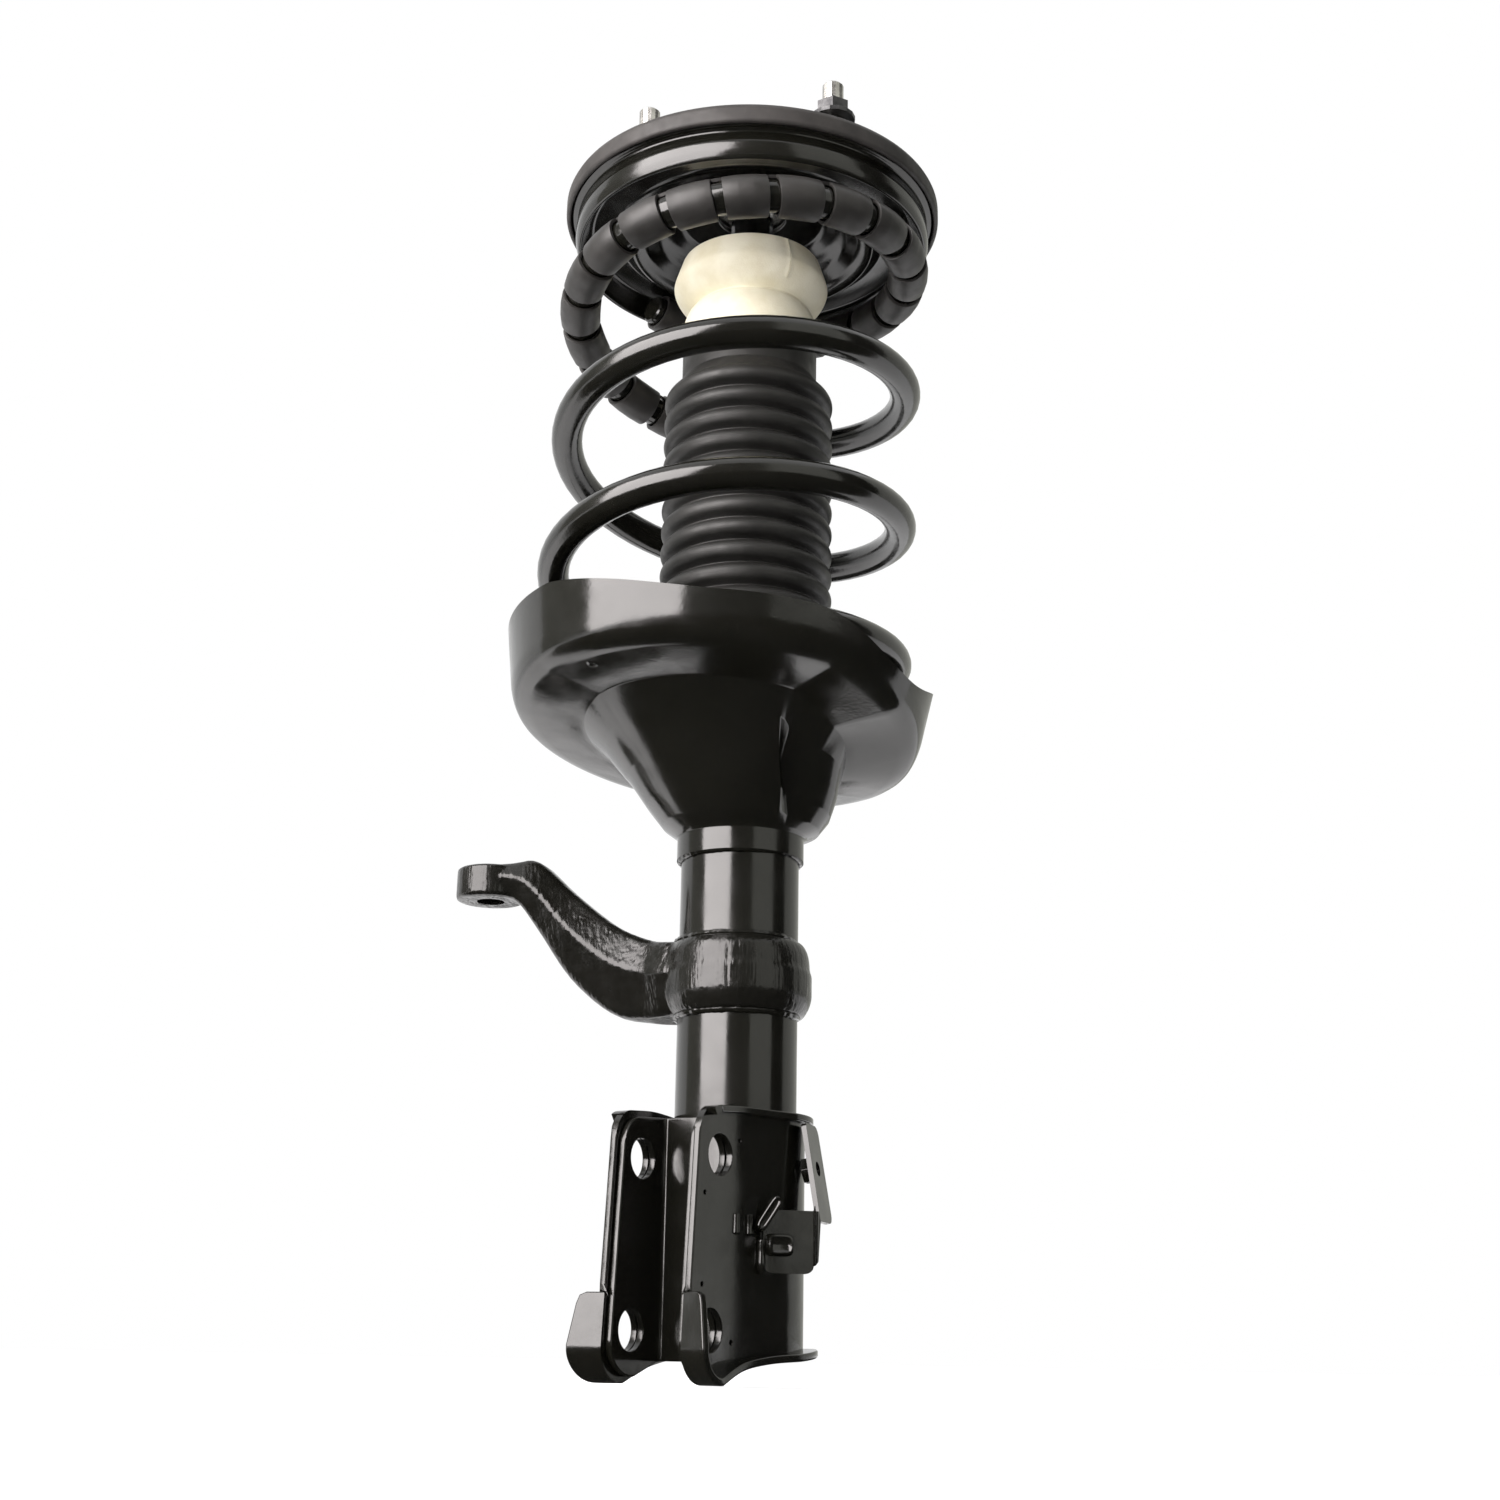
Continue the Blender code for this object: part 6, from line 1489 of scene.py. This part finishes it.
def bracket_channel(surface):
    """Inner pressing: a web against the tube and two sides that line the ears."""
    tip = EAR_REACH - CHANNEL_SETBACK
    root = TUBE_RADIUS + CLEARANCE + CHANNEL_WALL
    half = []
    for share in ear_shares():
        places = ear_column(EAR_GAP / 2.0, tip, root, share, CHANNEL_END_GAP)
        half.append([places[0], places[-1]])
    made, _ = open_skin(half + mirrored(half)[::-1])
    outward_normals(made, Vector((0.0, -EAR_REACH, BRACKET_HOOK_Z)))
    mark_folds(made)
    sheet = press(made, "channel_shell", CHANNEL_WALL, SHEET_BEND, SHEET_EDGE, knuckle_holes())
    adopt(sheet, surface, "bracket_channel")


# Hose bracket


class HosePlace:
    """Where the hose bracket's plate and tab lie."""

    def __init__(self):
        root = Vector((BRACKET_INNER, -BRACKET_EAR_ROOT, 0.0))
        wrap = level(BRACKET_WRAP_ANGLE) * BRACKET_WRAP_RADIUS
        run = (wrap - root).normalized()
        self.outward = Vector((run.y, -run.x, 0.0))
        self.ends = (root, wrap)
        self.foot = root.lerp(wrap, HOSE_FOOT_SHARE) + self.outward * (BRACKET_WALL + 2.0 * CLEARANCE)
        self.along = level(HOSE_ANGLE)
        self.out = Vector((self.along.y, -self.along.x, 0.0))
        lead = self.foot.dot(self.along)
        reach = BRACKET_WRAP_RADIUS + BRACKET_WALL + HOSE_STANDOFF
        self.length = math.sqrt(reach**2 - self.foot.length_squared + lead**2) - lead
        self.back = level(HOSE_ANGLE + HOSE_TAB_BEND)
        inward = Vector((-self.back.y, self.back.x, 0.0))
        self.up = UP + inward * math.tan(HOSE_TAB_LEAN)
        hinge_z = HOSE_PLATE_TOP_Z + HOSE_TAB_RISE - HOSE_TAB_HEIGHT
        self.hinge = self.foot + self.along * self.length + UP * hinge_z

    def on_bend(self, share, z):
        """A point on the outer bracket's bend, under the foot."""
        root, wrap = self.ends
        return root.lerp(wrap, share) + self.outward * BRACKET_WALL + UP * z

    def on_plate(self, way, z, lift=0.0):
        """A point on the plate, or lifted off it."""
        return self.foot + self.along * way + self.out * lift + UP * z

    def on_tab(self, way, height):
        """A point on the tab, by its way from the hinge and its height."""
        return self.hinge + self.back * way + self.up * height


def hose_bracket(place, surface):
    """Sheet bracket beside the wrap: a plate with round corners and a tab bent back above it."""
    top = HOSE_PLATE_TOP_Z
    bottom = top - HOSE_PLATE_HEIGHT
    columns = []
    for k in range(HOSE_COLUMNS + 1):
        way = place.length * ease(k / HOSE_COLUMNS)
        low = bottom + corner_drop(way, HOSE_CORNER) + corner_drop(place.length - way, HOSE_CORNER)
        high = top - corner_drop(way, HOSE_CORNER)
        columns.append([place.on_plate(way, low), place.on_plate(way, high)])
    overlap = HOSE_TAB_HEIGHT - HOSE_TAB_RISE
    columns.append([place.on_tab(HOSE_TAB_EDGE, 0.0), place.on_tab(HOSE_TAB_EDGE, overlap)])
    start = HOSE_TAB_EDGE + HOSE_TAB_SLANT
    for k in range(HOSE_COLUMNS + 1):
        way = start + (HOSE_TAB_LENGTH - start) * ease(k / HOSE_COLUMNS)
        drop = corner_drop(HOSE_TAB_LENGTH - way, HOSE_CORNER)
        near = corner_drop(way - start, 0.5 * HOSE_CORNER)
        columns.append([place.on_tab(way, drop), place.on_tab(way, HOSE_TAB_HEIGHT - drop - near)])
    made, _ = open_skin(columns)
    outward_normals(made, UP * HOSE_PLATE_TOP_Z)
    mark_folds(made)
    centre = place.on_tab(HOSE_HOLE_REACH, HOSE_TAB_HEIGHT - HOSE_HOLE_DROP)
    across = place.up.cross(place.back).normalized() * HOSE_TAB_LENGTH
    holes = [(HOSE_HOLE_RADIUS, centre - across, centre + across)]
    sheet = press(made, "hose_sheet", HOSE_WALL, SHEET_BEND, HOSE_EDGE, holes, clamp=True)
    adopt(sheet, surface, "hose_bracket")
    pad(place, "hose_boss", HOSE_BOSS_PLACE, HOSE_BOSS_SIZE, HOSE_BOSS_HEIGHT, 0.0, surface)
    pad(place, "hose_clip", HOSE_CLIP_PLACE, HOSE_CLIP_SIZE, HOSE_CLIP_HEIGHT, HOSE_CLIP_TURN, surface)


def drawn_in(value, half, inset):
    """One coordinate of a rounded rectangle's outline, pulled in towards its middle."""
    reach = half * abs(value) ** PAD_SQUARENESS
    return math.copysign(max(reach - inset, 0.0), value)


def pad(place, name, middle, size, height, turn, surface):
    """A boss pressed out of the hose plate: rounded outline, drawn sides and a hollowed top."""
    base = HOSE_WALL - PAD_SINK
    loops = []
    for share, rise in PAD_PROFILE:
        inset = (1.0 - share) * min(size) / 2.0
        loop = []
        for angle in full_turn(PAD_SIDES):
            across = drawn_in(math.cos(angle), size[0] / 2.0, inset)
            upward = drawn_in(math.sin(angle), size[1] / 2.0, inset)
            way = middle[0] + across * math.cos(turn) - upward * math.sin(turn)
            z = middle[1] + across * math.sin(turn) + upward * math.cos(turn)
            loop.append(place.on_plate(way, z, base + rise * height))
        loops.append(loop)
    finish_mesh(name, skin(loops, closed_path=False), surface)


def bead(name, points, width, surface):
    """A short weld bead along a few points, with ripples and blunt ends."""
    line = curved(points, BEAD_STEPS)
    last = len(line) - 1
    loops = []
    for i, centre in enumerate(line):
        ahead = (line[min(i + 1, last)] - line[max(i - 1, 0)]).normalized()
        turn = ahead.to_track_quat("Z", "Y")
        ripple = 1.0 + BEAD_WAVER * noise.noise(centre * BEAD_WAVER_RATE)
        end = min(1.0, BEAD_END + BEAD_END_GROWTH * min(i, last - i))
        half = 0.5 * width * ripple * end
        loops.append([centre + turn @ polar(half, a) for a in full_turn(BEAD_SIDES)])
    finish_mesh(name, skin(loops, closed_path=False), surface)


def hose_welds(place, surface):
    """Beads that hold the hose bracket's foot on the outer bracket."""
    foot_line = [place.on_plate(-FOOT_WELD_SETBACK, z, FOOT_WELD_LIFT) for z in FOOT_WELD_HEIGHTS]
    bead("weld_hose_foot", foot_line, FOOT_WELD, surface)
    for name, share in BEND_WELDS.items():
        ridge = [place.on_bend(share, z) for z in BEND_WELD_HEIGHTS]
        bead(name, ridge, BEND_WELD, surface)


def brackets(surface):
    """Both pressings of the knuckle bracket, and the hose bracket with its welds."""
    knuckle_bracket(surface)
    bracket_channel(surface)
    place = HosePlace()
    hose_bracket(place, surface)
    hose_welds(place, surface)


# CAD pieces that stay


def work_edges(node):
    """Give a CAD solid the small radii of a pressed or turned edge."""
    piece = NODES[node]
    width = PLATE_EDGE if node == "top_mount_plate" else NUT_EDGE
    limits = {"limit_method": "ANGLE", "angle_limit": WORKED_ANGLE}
    modify(piece, "joined", "WELD", merge_threshold=SEAM_GAP)
    modify(piece, "flats", "DECIMATE", decimate_type="DISSOLVE", angle_limit=FLAT_ANGLE)
    modify(piece, "edges", "BEVEL", width=width, segments=3, harden_normals=True, **limits)


def dress_cad(bracket):
    """Finishes of the CAD pieces that stay, and worked edges on those that show."""
    zinc = bare_metal("zinc_plate", (0.36, 0.35, 0.33), (0.62, 0.61, 0.58), rough=(0.22, 0.40))
    nut = bare_metal("nut_phosphate", (0.05, 0.05, 0.052), (0.11, 0.11, 0.112), rough=(0.30, 0.48))
    steel = bare_metal("bright_steel", (0.42, 0.42, 0.42), (0.58, 0.58, 0.57), rough=(0.20, 0.36))
    lengthwise = (1.0, 1.0, 0.05)
    chrome = bare_metal("rod_chrome", (0.70, 0.71, 0.72), (0.80, 0.81, 0.82), (0.04, 0.10), lengthwise)
    bronze = bare_metal("bush_bronze", (0.34, 0.22, 0.10), (0.52, 0.36, 0.17), rough=(0.28, 0.42))
    sinter = bare_metal("sinter_steel", (0.10, 0.10, 0.105), (0.18, 0.18, 0.185), rough=(0.40, 0.55))
    rubber = moulded("bush_rubber", (0.012, 0.012, 0.012), (0.024, 0.023, 0.022), rough=(0.55, 0.70))
    polymer = moulded("guide_polymer", (0.05, 0.038, 0.030), (0.09, 0.07, 0.055), rough=(0.40, 0.55))
    plate = gloss_paint("plate_enamel", peel=0.02, wave=0.15, dust=0.5)
    finishes = {
        bracket: ("tube_base", "weld_nut"),
        plate: ("top_mount_plate",),
        zinc: ("rod_nut", "tube_cap", "upper_washer", "lower_washer", *STUDS),
        nut: STUD_NUTS,
        steel: (*BEARING, *SHIMS, "bush_sleeve", "piston_nut", "inner_cylinder"),
        chrome: ("piston_rod",),
        bronze: ("guide_bush",),
        sinter: ("piston", "rod_guide", "base_valve"),
        rubber: ("mount_bush", "rod_seal"),
        polymer: ("piston_band", "rebound_stop"),
    }
    for surface, names in finishes.items():
        for name in names:
            materials = NODES[name].data.materials
            materials.clear()
            materials.append(surface)
    for name in ("top_mount_plate", "rod_nut", "weld_nut", *STUD_NUTS):
        work_edges(name)


# Studio


def camera():
    """Camera at the photograph's place: low, close and looking up."""
    turn = Matrix.Rotation(CAMERA_AZIMUTH, 3, "Z")
    ahead = turn @ Vector((0.0, math.cos(CAMERA_PITCH), math.sin(CAMERA_PITCH)))
    side = turn @ Vector((1.0, 0.0, 0.0))
    upright = turn @ Vector((0.0, -math.sin(CAMERA_PITCH), math.cos(CAMERA_PITCH)))
    right = side * math.cos(CAMERA_ROLL) + upright * math.sin(CAMERA_ROLL)
    up = upright * math.cos(CAMERA_ROLL) - side * math.sin(CAMERA_ROLL)
    place = turn @ Vector((0.0, -CAMERA_DISTANCE, 0.0)) + UP * CAMERA_Z
    data = bpy.data.cameras.new("camera")
    data.lens = CAMERA_LENS
    data.sensor_width = CAMERA_SENSOR
    data.shift_x = CAMERA_SHIFT
    data.clip_start = CAMERA_CLIP
    made = linked("camera", data)
    made.matrix_world = Matrix.Translation(place) @ Matrix((right, up, -ahead)).transposed().to_4x4()
    bpy.context.scene.camera = made


def seen_factor(tree):
    """1 for rays from the camera and for those mirrored or let through on the way."""
    path = tree.nodes.new("ShaderNodeLightPath")
    seen = path.outputs["Is Camera Ray"]
    for kind in ("Is Glossy Ray", "Is Transmission Ray"):
        seen = combined(tree, "MAXIMUM", seen, path.outputs[kind])
    return seen


def world():
    """White where it is seen, and a dim even fill for everything else."""
    made = bpy.data.worlds.new("studio")
    bpy.context.scene.world = made
    made.use_nodes = True
    tree = made.node_tree
    fill = tree.nodes["Background"]
    fill.inputs["Color"].default_value = FILL_COLOUR
    white = add_node(tree, "ShaderNodeBackground", Color=WHITE)
    mix = add_node(tree, "ShaderNodeMixShader", Fac=seen_factor(tree))
    feed(tree, mix.inputs[1], fill.outputs[0])
    feed(tree, mix.inputs[2], white.outputs[0])
    feed(tree, tree.nodes["World Output"].inputs["Surface"], mix.outputs[0])


def empty_material(name):
    """A material with nothing in its node tree yet."""
    made = bpy.data.materials.new(name)
    made.use_nodes = True
    made.node_tree.nodes.clear()
    return made, made.node_tree


def stage_mesh(name, corners, faces, surface):
    """A plain mesh of the set, which is no part of the object."""
    mesh = bpy.data.meshes.new(name)
    mesh.from_pydata(corners, [], faces)
    made = linked(name, mesh)
    mesh.materials.append(surface)
    return made


def floor():
    """Pale floor just under the part, near white to the eye, which still takes a shadow."""
    surface, tree = empty_material("floor")
    pale = add_node(tree, "ShaderNodeBsdfDiffuse", Color=FLOOR_COLOUR)
    glow = add_node(tree, "ShaderNodeEmission", Color=FLOOR_GLOW, Strength=seen_factor(tree))
    both = tree.nodes.new("ShaderNodeAddShader")
    feed(tree, both.inputs[0], pale.outputs[0])
    feed(tree, both.inputs[1], glow.outputs[0])
    add_node(tree, "ShaderNodeOutputMaterial", Surface=both.outputs[0])
    z = cad_box[0][2] - FLOOR_GAP
    s = FLOOR_HALF_SIZE
    stage_mesh("floor", [(-s, -s, z), (s, -s, z), (s, s, z), (-s, s, z)], [(0, 1, 2, 3)], surface)


def card(name, corners, faces, radiance):
    """A card with an even glow, which only reflections see."""
    surface, tree = empty_material(name)
    glow = add_node(tree, "ShaderNodeEmission", Color=CARD_COLOUR, Strength=radiance)
    add_node(tree, "ShaderNodeOutputMaterial", Surface=glow.outputs[0])
    made = stage_mesh(name, corners, faces, surface)
    made.visible_camera = False
    made.visible_diffuse = False
    made.visible_shadow = False


def floor_card(name, left, right, near, far, radiance):
    """Card laid on the floor, by its sides as the camera sees them from the part's axis."""
    turn = Matrix.Rotation(CAMERA_AZIMUTH, 3, "Z")
    z = cad_box[0][2] - 0.5 * FLOOR_GAP
    outline = [(left, near), (right, near), (right, far), (left, far)]
    card(name, [turn @ Vector((x, y, z)) for x, y in outline], [(0, 1, 2, 3)], radiance)


def wall_card(name, start, end, radiance):
    """Card standing round the set, from one angle off the camera's side to another, right positive."""
    bottom = cad_box[0][2]
    corners = []
    for i in range(WALL_STEPS + 1):
        angle = CAMERA_AZIMUTH + (start + (end - start) * i / WALL_STEPS) * DEG
        foot = Vector((WALL_RADIUS * math.sin(angle), -WALL_RADIUS * math.cos(angle), bottom))
        corners += [foot, foot + UP * WALL_HEIGHT]
    faces = [(k, k + 2, k + 3, k + 1) for k in range(0, 2 * WALL_STEPS, 2)]
    card(name, corners, faces, radiance)


def softbox(name, azimuth, elevation, width, height, radiance):
    """Area light aimed at the part; its angle is measured from the camera's side, right positive."""
    angle = CAMERA_AZIMUTH + azimuth * DEG
    lift = elevation * DEG
    aim = UP * (cad_box[0][2] + cad_box[1][2]) / 2.0
    way = Vector((math.sin(angle) * math.cos(lift), -math.cos(angle) * math.cos(lift), math.sin(lift)))
    data = bpy.data.lights.new(name, "AREA")
    data.shape = "RECTANGLE"
    data.size = width
    data.size_y = height
    data.energy = radiance * math.pi * width * height
    data.color = KEY_COLOUR
    made = linked(name, data)
    made.location = aim + way * SOFTBOX_DISTANCE
    made.rotation_euler = way.to_track_quat("Z", "Y").to_euler()
    made.visible_camera = False


def studio():
    """White set with one soft key light, and cards that the enamel mirrors."""
    bpy.context.scene.view_settings.view_transform = "Standard"
    world()
    floor()
    floor_card("card_front", left=-1.5, right=3.0, near=-3.0, far=0.12, radiance=0.04)
    floor_card("card_back", left=-0.20, right=0.12, near=0.40, far=1.60, radiance=0.04)
    wall_card("card_left", start=-107.0, end=-18.0, radiance=0.35)
    wall_card("card_camera", start=-18.0, end=24.0, radiance=0.14)
    wall_card("card_fill", start=24.0, end=68.0, radiance=0.80)
    wall_card("card_dark", start=68.0, end=98.0, radiance=0.04)
    wall_card("card_grey", start=98.0, end=170.0, radiance=0.62)
    softbox("key_left", azimuth=-45.0, elevation=21.0, width=1.50, height=1.58, radiance=9.0)


camera()
studio()
wire = WireLine()
coil_spring(wire)
spring_wrap(wire)
dust_boot()
bump_stop()
upper_seat()
seat_band()
lower_seat()
outer_tube()
forged_arm()
welds()
bracket_enamel = gloss_paint("bracket_enamel", peel=0.02, wave=0.7, dust=0.5)
brackets(bracket_enamel)
dress_cad(bracket_enamel)
